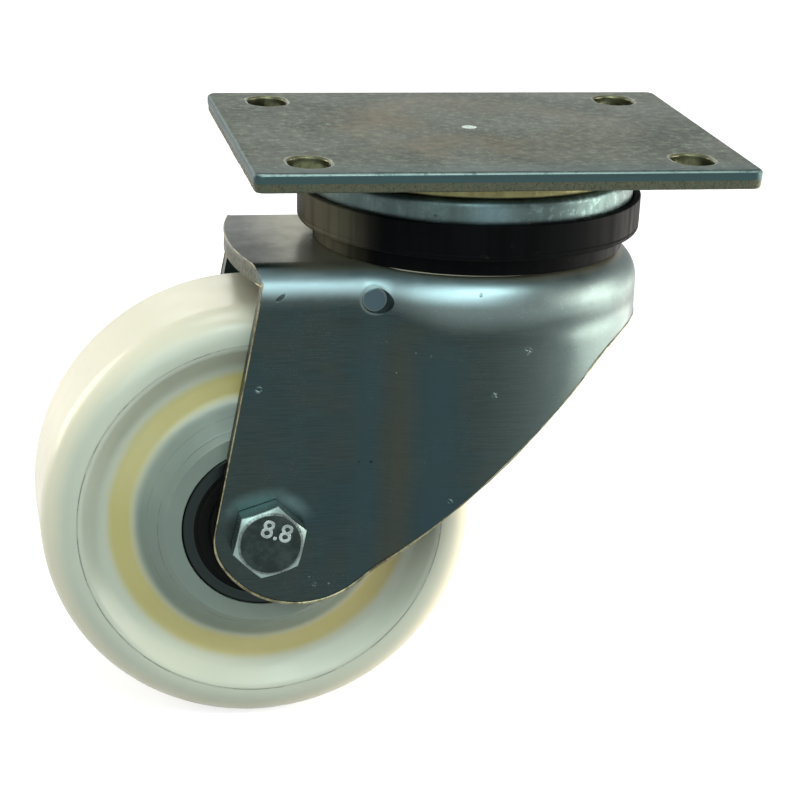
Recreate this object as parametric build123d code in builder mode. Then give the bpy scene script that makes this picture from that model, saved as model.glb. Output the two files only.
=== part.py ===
"""Heavy-duty swivel caster with a rectangular top plate.

A pressed steel fork turns under the plate on two rows of balls and carries a
solid nylon wheel on two sealed ball bearings. Millimetres, +Z up. The origin is
the centre of the plate's top face, on the swivel axis. The wheel trails towards
-X and its axle lies along Y, with the bolt head on the -Y side.
"""

import os
from math import asin, atan2, cos, hypot, radians, sin, sqrt, tan

from build123d import *

os.makedirs("parts", exist_ok=True)


# Top plate
plate_length = 140.0
plate_width = 110.0
plate_thickness = 5.4
plate_corner = 3.0
plate_edge = 0.5
slot_edge_x = 16.5
slot_edge_y = 14.0
slot_width = 11.2
slot_length = 14.6
centre_mark_radius = 1.6
centre_mark_depth = 0.6
centre_mark_offset = 2.8
centre_mark_taper = 30.0

# Swivel head
race_radius = 47.3
head_ring_overhang = 1.2
head_ring_thickness = 3.6
head_ring_corner = 1.0
race_thickness = 4.0
race_skirt_wall = 3.0
race_skirt_drop = 14.6
race_corner = 3.0
kingpin_radius = 10.0
kingpin_head_radius = 16.0
kingpin_clearance = 0.3
kingpin_end = 2.0
kingpin_chamfer = 1.0
ball_radius = 4.75
ball_clearance = 0.05
groove_depth = 1.2
cage_thickness = 2.4
cage_clearance = 0.15
cage_wall = 1.1
upper_row_inset = 6.6
upper_ball_count = 12
lower_row_inset = 13.0
lower_ball_count = 8
lower_race_width = 7.0
lower_race_thickness = 7.0
lower_race_corner = 1.5
king_washer_radius = 19.0
king_washer_thickness = 3.0
king_nut_flats = 30.0
king_nut_height = 10.0

# Seal ring
seal_gap = 0.4
seal_wall = 2.0
seal_lip_height = 10.2
seal_foot_wall = 2.0
seal_foot_height = 5.1
seal_corner = 1.6
seal_lip_corner = 0.4
seal_fit = 0.2

# Fork sheet
sheet = 5.0
cup_gap = 1.7
cup_height = 11.3
cup_corner = 3.0
crown_hole_radius = 14.0
roll_radius = 9.5
dome_radius = 48.7
dome_forward = 0.9
leg_bend = 14.0
rear_bow = 6.5
rear_angle = 9.7
rear_reach = 1.7
lip_drop = 19.0
lip_run = 11.7
lip_curve = 31.0
lobe_radius = 26.1
lobe_forward = 9.5
lobe_rise = 4.9
lobe_corner = 14.0
press_mark_radius = 3.4
press_mark_depth = 0.4
press_mark_taper = 25.0
press_mark_offset = 1.4
press_mark_drop = 8.6

# Wheel
wheel_diameter = 125.0
wheel_width = 50.0
wheel_gap = 9.5
trail = 62.0
hub_width = 60.0
hub_radius = 29.0
hub_step = 0.6
hub_slope = 8.0
web_inner_width = 43.0
web_outer_width = 39.4
web_blend = 7.0
rim_slope = 6.8
rim_blend = 3.0
rim_wall = 10.7
tread_shoulder = 10.0

# Wheel bearings
bearing_bore = 20.0
bearing_diameter = 47.0
bearing_width = 14.0
bearing_row_radius = 16.75
bearing_ball_radius = 3.97
bearing_ball_count = 8
bearing_clearance = 0.05
inner_ring_wall = 4.1
outer_ring_wall = 4.2
ring_edge = 0.6
bearing_cage_inner = 15.6
bearing_cage_outer = 17.9
bearing_cage_width = 9.4
seal_thickness = 0.8
seal_inset = 0.3
seal_seat = 0.8
seal_running_gap = 0.15
bearing_shoulder = 2.5

# Axle
bolt_radius = 6.0
bolt_head_flats = 19.0
bolt_head_height = 7.5
bolt_head_turn = 18.0
bolt_end = 3.5
bolt_chamfer = 0.9
bolt_clearance = 0.25
nut_flats = 19.0
nut_hex_height = 8.5
nut_collar_height = 3.5
nut_collar_radius = 8.6
nut_insert_radius = 7.6
nut_insert_depth = 2.5
washer_radius = 12.0
washer_thickness = 2.5
shim_thickness = 1.0
shim_radius = 13.4
spacer_radius = 13.2
seat_clearance = 0.02
chamfer_cone = 60.0

# Radii, heights and widths that follow
cup_radius = race_radius - race_skirt_wall - cup_gap
upper_row_radius = cup_radius - upper_row_inset
lower_row_radius = cup_radius - sheet - lower_row_inset
groove_reach = ball_radius + ball_clearance - groove_depth
head_z = -plate_thickness
race_z = head_z - head_ring_thickness
race_under_z = race_z - race_thickness
upper_ball_z = race_under_z - groove_reach
cup_z = upper_ball_z - groove_reach
cup_under_z = cup_z - sheet
lower_ball_z = cup_under_z - groove_reach
lower_race_z = lower_ball_z - groove_reach
king_washer_z = lower_race_z - lower_race_thickness
king_nut_z = king_washer_z - king_washer_thickness
kingpin_end_z = king_nut_z - king_nut_height - kingpin_end
crown_z = cup_z - cup_height
crown_under_z = crown_z - sheet

wheel_radius = wheel_diameter / 2
half_hub = hub_width / 2
leg_inner = half_hub + shim_thickness
leg_outer = leg_inner + sheet
axle_x = -trail
axle_z = crown_under_z - wheel_gap - wheel_radius
floor_z = axle_z - wheel_radius
bearing_inner_y = half_hub - bearing_width

bearing_radius = bearing_diameter / 2
bearing_middle_y = half_hub - bearing_width / 2
leg_length = trail + 2 * lobe_radius + dome_forward
nut_y = leg_outer + washer_thickness

swivel_axis = Axis.Z
axle_axis = Axis((axle_x, 0, axle_z), (0, 1, 0))
head_plane = Plane.XZ
sides = {"left": 1, "right": -1}


def ring_profile(inner, outer, low, high):
    """A ring's half section in the current sketch: radius across, height up."""
    with Locations(((inner + outer) / 2, (low + high) / 2)):
        Rectangle(outer - inner, high - low)


def groove_profile(pitch, height, radius):
    """A ball groove's round section, cut out of a half section."""
    with Locations((pitch, height)):
        Circle(radius, mode=Mode.SUBTRACT)


def bearing_plane(sign):
    """The axle's half-section plane, with its height outwards on one side."""
    return Plane(origin=(axle_x, 0, axle_z), x_dir=(1, 0, 0), z_dir=(0, 0, sign))


def axle_face(y, sign, turn=0.0):
    """A plane across the axle at a distance along it, facing out on one side."""
    across = (cos(radians(turn)), 0, sin(radians(turn)))
    return Plane(origin=(axle_x, y * sign, axle_z), x_dir=across, z_dir=(0, sign, 0))


def chamfered_hexagon(plane, flats, height):
    """A hexagon that stands on a plane, its far corners trimmed by a 30 degree cone."""
    with BuildSketch(plane) as hexagon:
        RegularPolygon(flats / 2, 6, major_radius=False)
    extrude(hexagon.sketch, amount=height)
    with BuildSketch(plane) as cone:
        Circle(flats / 2 + height * tan(radians(chamfer_cone)))
    extrude(cone.sketch, amount=height, taper=chamfer_cone, mode=Mode.INTERSECT)


def save(piece, name):
    """Label a finished piece and write it as its own file."""
    piece.part.label = name
    export_step(piece.part, f"parts/{name}.step")


# Top plate: cut from flat bar, with four slots that run across it
with BuildPart() as top_plate:
    with BuildSketch(Plane.XY.offset(head_z)):
        RectangleRounded(plate_length, plate_width, plate_corner)
        with GridLocations(plate_length - 2 * slot_edge_x, plate_width - 2 * slot_edge_y, 2, 2):
            SlotOverall(slot_length, slot_width, rotation=90, mode=Mode.SUBTRACT)
    extrude(amount=plate_thickness)
    rim = top_plate.faces().sort_by(Axis.Z)[-1].outer_wire().edges()
    chamfer(rim, plate_edge)
    with BuildSketch(Plane.XY):
        with Locations((0, centre_mark_offset)):
            Circle(centre_mark_radius)
    extrude(amount=-centre_mark_depth, taper=centre_mark_taper, mode=Mode.SUBTRACT)
save(top_plate, "top_plate")

# Head ring: welded under the plate, it lies round the kingpin's head
with BuildPart() as head_ring:
    with BuildSketch(Plane.XY.offset(race_z)):
        Circle(race_radius + head_ring_overhang)
        Circle(kingpin_head_radius + kingpin_clearance, mode=Mode.SUBTRACT)
    extrude(amount=head_ring_thickness)
    fillet(head_ring.edges().group_by(Axis.Z)[0].sort_by(SortBy.RADIUS)[-1], head_ring_corner)
save(head_ring, "head_ring")

# Upper race: a pressed dish with the upper ball groove under its web
with BuildPart() as upper_race:
    with BuildSketch(head_plane) as race_section:
        ring_profile(kingpin_radius + kingpin_clearance, race_radius, race_under_z, race_z)
        ring_profile(race_radius - race_skirt_wall, race_radius, race_z - race_skirt_drop, race_z)
        groove_profile(upper_row_radius, upper_ball_z, ball_radius + ball_clearance)
        outer_corner = race_section.vertices().group_by(Axis.X)[-1].sort_by(Axis.Y)[-1]
        fillet(outer_corner, race_corner)
    revolve(axis=swivel_axis)
save(upper_race, "upper_race")

# Kingpin: its head is trapped between the plate and the upper race
with BuildPart() as kingpin:
    with BuildSketch(Plane.XY.offset(head_z)):
        Circle(kingpin_head_radius)
    extrude(amount=-head_ring_thickness)
    with BuildSketch(Plane.XY.offset(race_z)):
        Circle(kingpin_radius)
    extrude(amount=kingpin_end_z - race_z)
    chamfer(kingpin.edges().sort_by(Axis.Z)[0], kingpin_chamfer)
save(kingpin, "kingpin")

# Lower race: a thick turned ring that carries the lower ball row
with BuildPart() as lower_race:
    with BuildSketch(head_plane):
        ring_profile(
            kingpin_radius + seat_clearance,
            lower_row_radius + lower_race_width,
            king_washer_z,
            lower_race_z,
        )
        groove_profile(lower_row_radius, lower_ball_z, ball_radius + ball_clearance)
    revolve(axis=swivel_axis)
    chamfer(lower_race.edges().group_by(Axis.Z)[0].sort_by(SortBy.RADIUS)[-1], lower_race_corner)
save(lower_race, "lower_race")

with BuildPart() as kingpin_washer:
    with BuildSketch(Plane.XY.offset(king_nut_z)):
        Circle(king_washer_radius)
        Circle(kingpin_radius + kingpin_clearance, mode=Mode.SUBTRACT)
    extrude(amount=king_washer_thickness)
save(kingpin_washer, "kingpin_washer")

# Kingpin nut: a low lock nut
with BuildPart() as kingpin_nut:
    nut_seat = Plane(origin=(0, 0, king_nut_z), x_dir=(1, 0, 0), z_dir=(0, 0, -1))
    chamfered_hexagon(nut_seat, king_nut_flats, king_nut_height)
    with Locations((0, 0, king_nut_z)):
        Hole(kingpin_radius + seat_clearance)
save(kingpin_nut, "kingpin_nut")


# Ball rows of the swivel head, each with its own flat cage
rows = {
    "upper": (upper_row_radius, upper_ball_z, upper_ball_count),
    "lower": (lower_row_radius, lower_ball_z, lower_ball_count),
}
pocket_radius = ball_radius + cage_clearance
for row, (pitch, height, count) in rows.items():
    with BuildPart() as balls:
        with Locations(Plane.XY.offset(height)):
            with PolarLocations(pitch, count):
                Sphere(ball_radius)
    save(balls, f"{row}_balls")

    with BuildPart() as cage:
        with BuildSketch(Plane.XY.offset(height - cage_thickness / 2)):
            Circle(pitch + pocket_radius + cage_wall)
            Circle(pitch - pocket_radius - cage_wall, mode=Mode.SUBTRACT)
            with PolarLocations(pitch, count):
                Circle(pocket_radius, mode=Mode.SUBTRACT)
        extrude(amount=cage_thickness)
    save(cage, f"{row}_cage")

# Seal ring: stands on the crown and reaches up round the race's skirt
seal_inner = race_radius + seal_gap
seal_outer = seal_inner + seal_wall
seal_foot_inner = cup_radius + seal_fit
seal_web_z = crown_z + seal_foot_height
with BuildPart() as seal_ring:
    with BuildSketch(head_plane) as seal_section:
        ring_profile(seal_inner, seal_outer, seal_web_z, seal_web_z + seal_lip_height)
        ring_profile(seal_foot_inner, seal_outer, seal_web_z, seal_web_z + seal_wall)
        ring_profile(
            seal_foot_inner, seal_foot_inner + seal_foot_wall, crown_z, seal_web_z + seal_wall
        )
        lip = seal_section.vertices().group_by(Axis.X)[-1].sort_by(Axis.Y)
        fillet(lip[0], seal_corner)
        fillet(lip[-1], seal_lip_corner)
    revolve(axis=swivel_axis)
save(seal_ring, "seal_ring")


def fork_plan(inset):
    """The fork from above: two flat legs that flare out into a round front."""
    with Locations((dome_forward - leg_length / 2, 0)):
        Rectangle(leg_length, 2 * leg_outer)
    with Locations((dome_forward, 0)):
        Circle(dome_radius)
    fillet(vertices().sort_by(Axis.X)[2:4], leg_bend)
    if inset:
        offset(amount=-inset, kind=Kind.INTERSECTION, mode=Mode.REPLACE)


def pressing(inset):
    """The drawn form, an inset inside its outer face: upright walls that roll over into the crown."""
    with BuildSketch(Plane.XY.offset(crown_z - inset)) as plan:
        fork_plan(inset)
    extrude(plan.sketch, amount=floor_z - crown_z + inset)
    rim = edges().group_by(Axis.Z)[-1].sort_by(Axis.X)[1:]
    fillet(rim, roll_radius - inset)


# Fork limits: what the side view and the bowed rear edge leave of the pressing
lobe = Vector(axle_x + lobe_forward, axle_z + lobe_rise)
lip = Vector(dome_forward + dome_radius - lip_run, crown_z - lip_drop)
lobe_to_lip = lip - lobe
front_angle = atan2(lobe_to_lip.Y, lobe_to_lip.X) + asin(lobe_radius / lobe_to_lip.length)
front_foot = lobe + Vector(sin(front_angle), -cos(front_angle)) * lobe_radius
rear_top = Vector(axle_x - rear_reach, crown_z)
rear_lean = tan(radians(rear_angle))
rear_foot = Vector(rear_top.X - rear_lean * (rear_top.Y - floor_z), floor_z)
far = dome_radius + lip_curve
bow_radius = (leg_outer**2 + rear_bow**2) / (2 * rear_bow)
with BuildPart() as fork_limits:
    with BuildSketch(Plane.XZ) as side_view:
        with Locations(lobe):
            Circle(lobe_radius)
        with BuildLine():
            Polyline(front_foot, lip, (far, lip.Y), (far, 0), (-far, 0), (-far, lobe.Y), lobe, close=True)
        make_face()
        with BuildLine():
            Polyline(
                (rear_top.X, 0),
                rear_top,
                rear_foot,
                (-2 * far, floor_z),
                (-2 * far, 0),
                close=True,
            )
        make_face(mode=Mode.SUBTRACT)
        fillet(side_view.vertices().sort_by_distance((lip.X, lip.Y))[0], lip_curve)
        fillet(side_view.vertices().group_by(Axis.X)[0], lobe_corner)
    extrude(amount=2 * dome_radius, both=True)
    with BuildSketch(Plane.XY.offset(crown_under_z)):
        with Locations((rear_top.X - rear_bow + bow_radius, 0)):
            Circle(bow_radius)
    extrude(amount=-crown_under_z)

# Fork hollow: the inside of the pressing, one sheet thickness in from the outside
with BuildPart() as fork_hollow:
    pressing(sheet)
    with BuildSketch(Plane.XY.offset(crown_under_z)):
        Circle(cup_radius - sheet)
    extrude(amount=cup_under_z - crown_under_z)
    with Locations((0, 0, cup_z)):
        Cylinder(crown_hole_radius, 2 * cup_height)

# Fork: one pressing, with the cup drawn up in its crown as the seat of both ball rows
mark_x = dome_forward - sqrt(dome_radius**2 - leg_outer**2) - press_mark_offset
mark_z = crown_z - press_mark_drop
with BuildPart() as fork:
    pressing(0)
    with BuildSketch(head_plane) as cup_section:
        ring_profile(0, cup_radius, crown_under_z, cup_z)
        fillet(cup_section.vertices().group_by(Axis.X)[-1].sort_by(Axis.Y)[-1], cup_corner)
    revolve(axis=swivel_axis)
    add(fork_hollow.part, mode=Mode.SUBTRACT)
    with BuildSketch(head_plane):
        for pitch, height, _ in rows.values():
            with Locations((pitch, height)):
                Circle(ball_radius + ball_clearance)
    revolve(axis=swivel_axis, mode=Mode.SUBTRACT)
    add(fork_limits.part, mode=Mode.INTERSECT)
    with Locations(axle_face(leg_outer, 1)):
        Hole(bolt_radius + bolt_clearance)
    for sign in sides.values():
        seat_y = sign * (leg_outer - press_mark_depth)
        with BuildSketch(Plane((mark_x, seat_y, mark_z), x_dir=(1, 0, 0), z_dir=(0, sign, 0))):
            Circle(press_mark_radius)
        extrude(amount=roll_radius, taper=-press_mark_taper, mode=Mode.SUBTRACT)
save(fork, "fork")

# Wheel: one solid moulding with a hub, a thin web and a heavy rim
rim_radius = wheel_radius - rim_wall
half_wheel = wheel_width / 2
bore_radius = bearing_radius + seat_clearance
shoulder_radius = bearing_radius - bearing_shoulder
with BuildPart() as wheel:
    with BuildSketch(bearing_plane(1)) as wheel_section:
        with BuildLine():
            Polyline(
                (shoulder_radius, 0),
                (shoulder_radius, bearing_inner_y),
                (bore_radius, bearing_inner_y),
                (bore_radius, half_hub),
                (hub_radius - hub_step, half_hub),
                (hub_radius, half_hub - hub_step),
                (hub_radius + hub_slope, web_inner_width / 2),
                (rim_radius - rim_slope, web_outer_width / 2),
                (rim_radius, half_wheel),
                (wheel_radius, half_wheel),
                (wheel_radius, 0),
                close=True,
            )
        make_face()
        corners = wheel_section.vertices()
        fillet(corners.sort_by_distance((wheel_radius, half_wheel))[0], tread_shoulder)
        fillet(corners.sort_by_distance((rim_radius, half_wheel))[0], rim_blend)
        web_ends = [
            corners.sort_by_distance((hub_radius + hub_slope, web_inner_width / 2))[0],
            corners.sort_by_distance((rim_radius - rim_slope, web_outer_width / 2))[0],
        ]
        fillet(web_ends, web_blend)
        mirror(about=Plane.XZ)
    revolve(axis=axle_axis)
save(wheel, "wheel")

# Wheel bearings: one on each side, sealed on both faces
ball_reach = bearing_ball_radius + bearing_clearance
inner_ring_radius = bearing_bore / 2 + inner_ring_wall
outer_ring_bore = bearing_radius - outer_ring_wall
seal_radius = outer_ring_bore + seal_seat
seal_depth = seal_inset + seal_thickness
window = 2 * (bearing_ball_radius + cage_clearance)
for side, sign in sides.items():
    with BuildPart() as outer_ring:
        with BuildSketch(bearing_plane(sign)) as section:
            ring_profile(outer_ring_bore, bearing_radius, bearing_inner_y, half_hub)
            chamfer(section.vertices().group_by(Axis.X)[-1], ring_edge)
            groove_profile(bearing_row_radius, bearing_middle_y, ball_reach)
            for end in (bearing_inner_y, half_hub):
                with Locations((outer_ring_bore, end)):
                    Rectangle(2 * seal_seat, 2 * seal_depth, mode=Mode.SUBTRACT)
        revolve(axis=axle_axis)
    save(outer_ring, f"bearing_outer_ring_{side}")

    with BuildPart() as inner_ring:
        with BuildSketch(bearing_plane(sign)) as section:
            ring_profile(bearing_bore / 2 + seat_clearance, inner_ring_radius, bearing_inner_y, half_hub)
            chamfer(section.vertices().group_by(Axis.X)[0], ring_edge)
            groove_profile(bearing_row_radius, bearing_middle_y, ball_reach)
        revolve(axis=axle_axis)
    save(inner_ring, f"bearing_inner_ring_{side}")

    with BuildPart() as bearing_balls:
        with Locations(axle_face(bearing_middle_y, sign)):
            with PolarLocations(bearing_row_radius, bearing_ball_count):
                Sphere(bearing_ball_radius)
    save(bearing_balls, f"bearing_balls_{side}")

    with BuildPart() as bearing_cage:
        with BuildSketch(axle_face(bearing_middle_y - bearing_cage_width / 2, sign)):
            Circle(bearing_cage_outer)
            Circle(bearing_cage_inner, mode=Mode.SUBTRACT)
        extrude(amount=bearing_cage_width)
        with Locations(axle_face(bearing_middle_y, sign)):
            with PolarLocations(bearing_row_radius, bearing_ball_count):
                Box(bearing_ball_radius, window, window, mode=Mode.SUBTRACT)
    save(bearing_cage, f"bearing_cage_{side}")

    seal_starts = {
        "inner": bearing_inner_y + seal_inset,
        "outer": half_hub - seal_depth,
    }
    for place, start in seal_starts.items():
        with BuildPart() as bearing_seal:
            with BuildSketch(axle_face(start, sign)):
                Circle(seal_radius)
                Circle(inner_ring_radius + seal_running_gap, mode=Mode.SUBTRACT)
            extrude(amount=seal_thickness)
        save(bearing_seal, f"bearing_seal_{side}_{place}")

    with BuildPart() as shim:
        with BuildSketch(axle_face(half_hub, sign)):
            Circle(shim_radius)
            Circle(bearing_bore / 2 + seat_clearance, mode=Mode.SUBTRACT)
        extrude(amount=shim_thickness)
    save(shim, f"shim_washer_{side}")

# Spacer between the inner rings, and the tube that the bolt clamps between the legs
with BuildPart() as bearing_spacer:
    with BuildSketch(axle_face(0, 1)):
        Circle(spacer_radius)
        Circle(bearing_bore / 2 + seat_clearance, mode=Mode.SUBTRACT)
    extrude(amount=bearing_inner_y, both=True)
save(bearing_spacer, "bearing_spacer")

with BuildPart() as axle_tube:
    with BuildSketch(axle_face(0, 1)):
        Circle(bearing_bore / 2)
        Circle(bolt_radius + bolt_clearance, mode=Mode.SUBTRACT)
    extrude(amount=leg_inner, both=True)
save(axle_tube, "axle_tube")

# Axle bolt: its head sits on the right leg
bolt_length = leg_outer + nut_y + nut_hex_height + nut_collar_height + bolt_end
with BuildPart() as axle_bolt:
    chamfered_hexagon(axle_face(leg_outer, -1, bolt_head_turn), bolt_head_flats, bolt_head_height)
    with BuildSketch(axle_face(leg_outer, -1)):
        Circle(bolt_radius)
    extrude(amount=-bolt_length)
    chamfer(axle_bolt.edges().sort_by(Axis.Y)[-1], bolt_chamfer)
save(axle_bolt, "axle_bolt")

with BuildPart() as axle_washer:
    with BuildSketch(axle_face(leg_outer, 1)):
        Circle(washer_radius)
        Circle(bolt_radius + bolt_clearance, mode=Mode.SUBTRACT)
    extrude(amount=washer_thickness)
save(axle_washer, "axle_washer")

# Axle nut: a lock nut whose round collar holds a nylon ring
with BuildPart() as axle_nut:
    chamfered_hexagon(axle_face(nut_y, 1), nut_flats, nut_hex_height)
    with BuildSketch(axle_face(nut_y + nut_hex_height, 1)):
        Circle(nut_collar_radius)
    extrude(amount=nut_collar_height)
    with Locations(axle_face(nut_y, 1)):
        Hole(bolt_radius + seat_clearance)
    with BuildSketch(axle_face(nut_y + nut_hex_height, 1)):
        Circle(nut_insert_radius)
    extrude(amount=nut_collar_height, mode=Mode.SUBTRACT)
save(axle_nut, "axle_nut")

with BuildPart() as nut_insert:
    with BuildSketch(axle_face(nut_y + nut_hex_height, 1)):
        Circle(nut_insert_radius)
        Circle(bolt_radius + seat_clearance, mode=Mode.SUBTRACT)
    extrude(amount=nut_insert_depth)
save(nut_insert, "nut_insert")
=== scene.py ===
"""Looks for a heavy-duty swivel caster: its zinc finishes, the moulded nylon wheel and its studio.

Everything is in metres, in the frame of the solids: the origin is the middle of the
plate's top face, the wheel trails towards -X and its axle lies along Y.
"""

from math import cos, pi, radians, sin, tan

import bmesh
import bpy
import numpy as np
from bpy.props import FloatProperty, FloatVectorProperty, PointerProperty
from mathutils import Matrix, Vector
from mathutils.geometry import delaunay_2d_cdt


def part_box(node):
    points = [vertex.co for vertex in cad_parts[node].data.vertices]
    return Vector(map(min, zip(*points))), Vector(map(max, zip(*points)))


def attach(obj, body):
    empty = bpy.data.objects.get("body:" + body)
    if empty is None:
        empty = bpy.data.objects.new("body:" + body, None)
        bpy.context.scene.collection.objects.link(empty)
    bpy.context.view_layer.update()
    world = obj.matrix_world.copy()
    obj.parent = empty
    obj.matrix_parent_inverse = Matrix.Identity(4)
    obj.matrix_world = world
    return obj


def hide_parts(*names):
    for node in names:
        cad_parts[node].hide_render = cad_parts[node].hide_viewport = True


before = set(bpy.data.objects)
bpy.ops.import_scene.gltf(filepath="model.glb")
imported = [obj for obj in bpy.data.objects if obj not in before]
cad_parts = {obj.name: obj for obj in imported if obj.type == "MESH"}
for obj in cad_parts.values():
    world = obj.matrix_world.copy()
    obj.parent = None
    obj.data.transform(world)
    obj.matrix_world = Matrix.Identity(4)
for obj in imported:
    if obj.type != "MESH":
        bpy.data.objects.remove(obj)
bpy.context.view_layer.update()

bl_info = {
    "name": "Swivel Caster Looks",
    "version": (1, 0, 0),
    "blender": (4, 5, 0),
    "location": "3D View > Sidebar > Caster",
    "description": "Dresses a packed swivel caster with zinc, nylon and rubber finishes",
    "category": "Object",
}

# Places that the solids settle
wheel_low, wheel_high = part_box("wheel")
plate_low, plate_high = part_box("top_plate")
seal_low, seal_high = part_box("seal_ring")
fork_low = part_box("fork")[0]
bolt_low, bolt_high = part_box("axle_bolt")
AXLE = (wheel_low + wheel_high) / 2
WHEEL_RADIUS = (wheel_high.x - wheel_low.x) / 2
FLOOR_Z = wheel_low.z
CROWN_Z = seal_low.z
LEG_SIDE = fork_low.y + 0.0127

SWIVEL_AXIS = (Vector((0, 0, 0)), Vector((0, 0, 1)), Vector((1, 0, 0)))
AXLE_AXIS = (AXLE, Vector((0, 1, 0)), Vector((1, 0, 0)))

# Marks read off the photo
WELD_MIDDLE = (0.004, 0.004, 0.0)
# Height of the painted highlight line along the plate's rolled edge
RIM_HIGHLIGHT_Z = -0.00042
# Middle of an upright painted reflection on the race, as of a bright pane
PAINTED_REFLECTION_X = -0.004
PRESS_MARK = (-0.0333, 0.0, -0.0401)
DENT = (-0.0400, LEG_SIDE, -0.0440)
DENT_REACH = (0.0085, 0.006, 0.0022)
CUT = (-0.0595, LEG_SIDE, -0.0392)
CUT_TURN = (0.0, -0.6, 0.0)
CUT_REACH = (0.0020, 0.002, 0.0007)
VALLEY_Z = -0.0468
VALLEY_WIDTH = 0.0030
VALLEY_DEPTH = 0.00045
TURNED_LINES = (0.0527, 0.0302)
# Each turned line's radius, half its width and how dark its dirt is
TURNED_MARKS = ((0.0527, 0.00012, 0.5), (0.0302, 0.00010, 0.45), (0.0332, 0.00008, 0.3))
TURNING_STEP = 0.0006
# Places where handling has rubbed the right leg through, and how far each reaches
NICKS = (
    ((-0.0650, LEG_SIDE, -0.0655), 0.0013),
    ((-0.0010, LEG_SIDE - 0.0127, -0.0645), 0.0011),
    ((-0.0120, LEG_SIDE - 0.0115, -0.0960), 0.0012),
    ((-0.0480, LEG_SIDE, -0.1240), 0.0010),
    ((0.0080, LEG_SIDE - 0.0125, -0.0520), 0.0015),
)
# Where each tone starts and where it is full, along one axis or as a distance
ZONES = {
    "weld inside": (0.012, 0.026),
    "weld outside": (0.034, 0.056),
    "weld side": (-0.015, 0.02),
    "plate front": (-0.032, -0.050),
    "plate edge": (-0.0001, -0.0007),
    "rim highlight": (0.00008, 0.00034),
    "race mottle": (-0.01, 0.03),
    "race window": (0.001, 0.009),
    "painted seal sheen x": (-0.032, -0.046),
    "painted seal sheen y": (0.006, -0.014),
    "tread": (0.0555, 0.0605),
    "hub": (0.0345, 0.0385),
    "band inside": (0.0358, 0.0388),
    "band outside": (0.0425, 0.0455),
    "painted_reflection_stripes": (-0.044, -0.060),
    "narrow roll": (-0.036, -0.012),
    "drawn": (-0.0465, -0.0375),
    "drawn top": (CROWN_Z - 0.0003, CROWN_Z - 0.0016),
    "front": (-0.006, 0.042),
    "ridge_highlight": (-0.0400, -0.0352),
    "ridge top": (CROWN_Z - 0.0002, CROWN_Z - 0.0010),
    "ridge end": (0.012, -0.006),
    "crown": (CROWN_Z - 0.0010, CROWN_Z - 0.0002),
    "dusty crown": (CROWN_Z - 0.0020, CROWN_Z - 0.0002),
    "dusty part": (-0.066, -0.050),
    "dull crown": (CROWN_Z - 0.0030, CROWN_Z - 0.0004),
    "painted disc ring": (0.0046, 0.0038),
    "disc": (0.0034, 0.0028),
    "over the bolt": (AXLE.z + 0.003, AXLE.z + 0.010),
    "bolt_reflection": (0.0100, 0.0155),
    "valley": (-0.034, -0.008),
}

# Lengths of one streak along X, Y and Z
EDGE_TEARS = (0.0007, 0.0007, 0.004)
RACE_WIPES = (0.003, 0.003, 0.02)
SEAL_WIPES = (0.0035, 0.0035, 0.05)
LEG_GRAIN = (0.009, 0.009, 0.00028)
LEG_TEARS = (0.003, 0.0006, 0.0012)
STROKES = (0.0016, 0.0016, 0.0003)

# Tones that several pieces or no settings hold
SOFT_TINT = (0.75, 0.75, 0.75, 1.0)
# Colour of the painted reflection on the race
PAINTED_WINDOW_REFLECTION = (0.50, 0.62, 0.66)
DUST = (0.30, 0.28, 0.24)
# Colour of the painted warm sheen on the seal
PAINTED_WARM_SHEEN = (0.42, 0.40, 0.335)
PALE_NYLON = (0.93, 0.90, 0.80)
SOFT_SKY = (0.93, 0.97, 1.0, 1.0)

# How fine the meshes are: the longest side along an outline, and the points round a turn
MESH_STEP = 0.0007
SLOT_STEP = 0.0006
SEAL_STEP = 0.0004
SEAL_COUNT = 256
WHEEL_COUNT = 224
BEARING_COUNT = 128
BOLT_COUNT = 120
SHANK_ROWS = 190

# Small forms: lengths, and shares of a size
SLOT_ROLL = 0.7
TEAR_COARSE = (0.0031, 0.002)
TEAR_FINE = (0.0011, 0.0009)
LINE_WIDTH = 0.00011
LINES_FROM = 0.015
BURR_COARSE = 0.0021
BURR_FINE = 0.0008
BOSS_RISE = 0.004
BOSS_FADE = 0.008
SHEARED_ANGLE = radians(50)
GROOVE_RISE = 0.0018
GROOVE_WIDTH = 0.00025
WAVE_HEIGHT = 0.004
FOOT_TAPER = 0.0003
LIP_TAPER = 0.0002
SEAL_PLAY = 0.00015
LIP_DEPTH = 0.0002
RIB_DEPTH = 0.00012
FACE_SHARE = 0.91
FIGURE_SHARE = 0.7
FIGURE_EDGE = 0.00012
FIGURE_SUNK = 0.0002

FLOOR_REACH = 6.0
LAMP_AIM = (-0.02, 0.0, -0.08)
# Each lamp's name, place, width, height, power and colour
LAMPS = (
    ("overhead", (-0.15, 0.10, 1.10), 0.5, 0.5, 3.6, (1.0, 1.0, 1.0)),
    ("front", (0.10, -0.66, 0.94), 0.70, 0.34, 5.2, (0.84, 1.0, 1.0)),
    ("front_left", (-0.42, -0.88, 0.60), 0.90, 0.95, 8.4, (0.82, 1.0, 1.0)),
    ("right", (0.78, -0.14, 0.06), 0.60, 0.40, 7.0, (1.0, 0.96, 0.87)),
    ("low_right", (0.33, 0.04, -0.115), 0.42, 0.11, 0.75, (1.0, 0.96, 0.87)),
    ("warm_left", (-0.66, 0.50, 0.10), 0.45, 0.45, 3.4, (1.0, 0.93, 0.80)),
    ("back", (0.10, 1.10, 0.42), 0.90, 0.35, 1.1, (0.97, 1.0, 0.88)),
)


def size(name, description, default):
    """A length that a user may change."""
    return FloatProperty(
        name=name, description=description, default=default, min=0.0, unit="LENGTH", precision=5
    )


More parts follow.
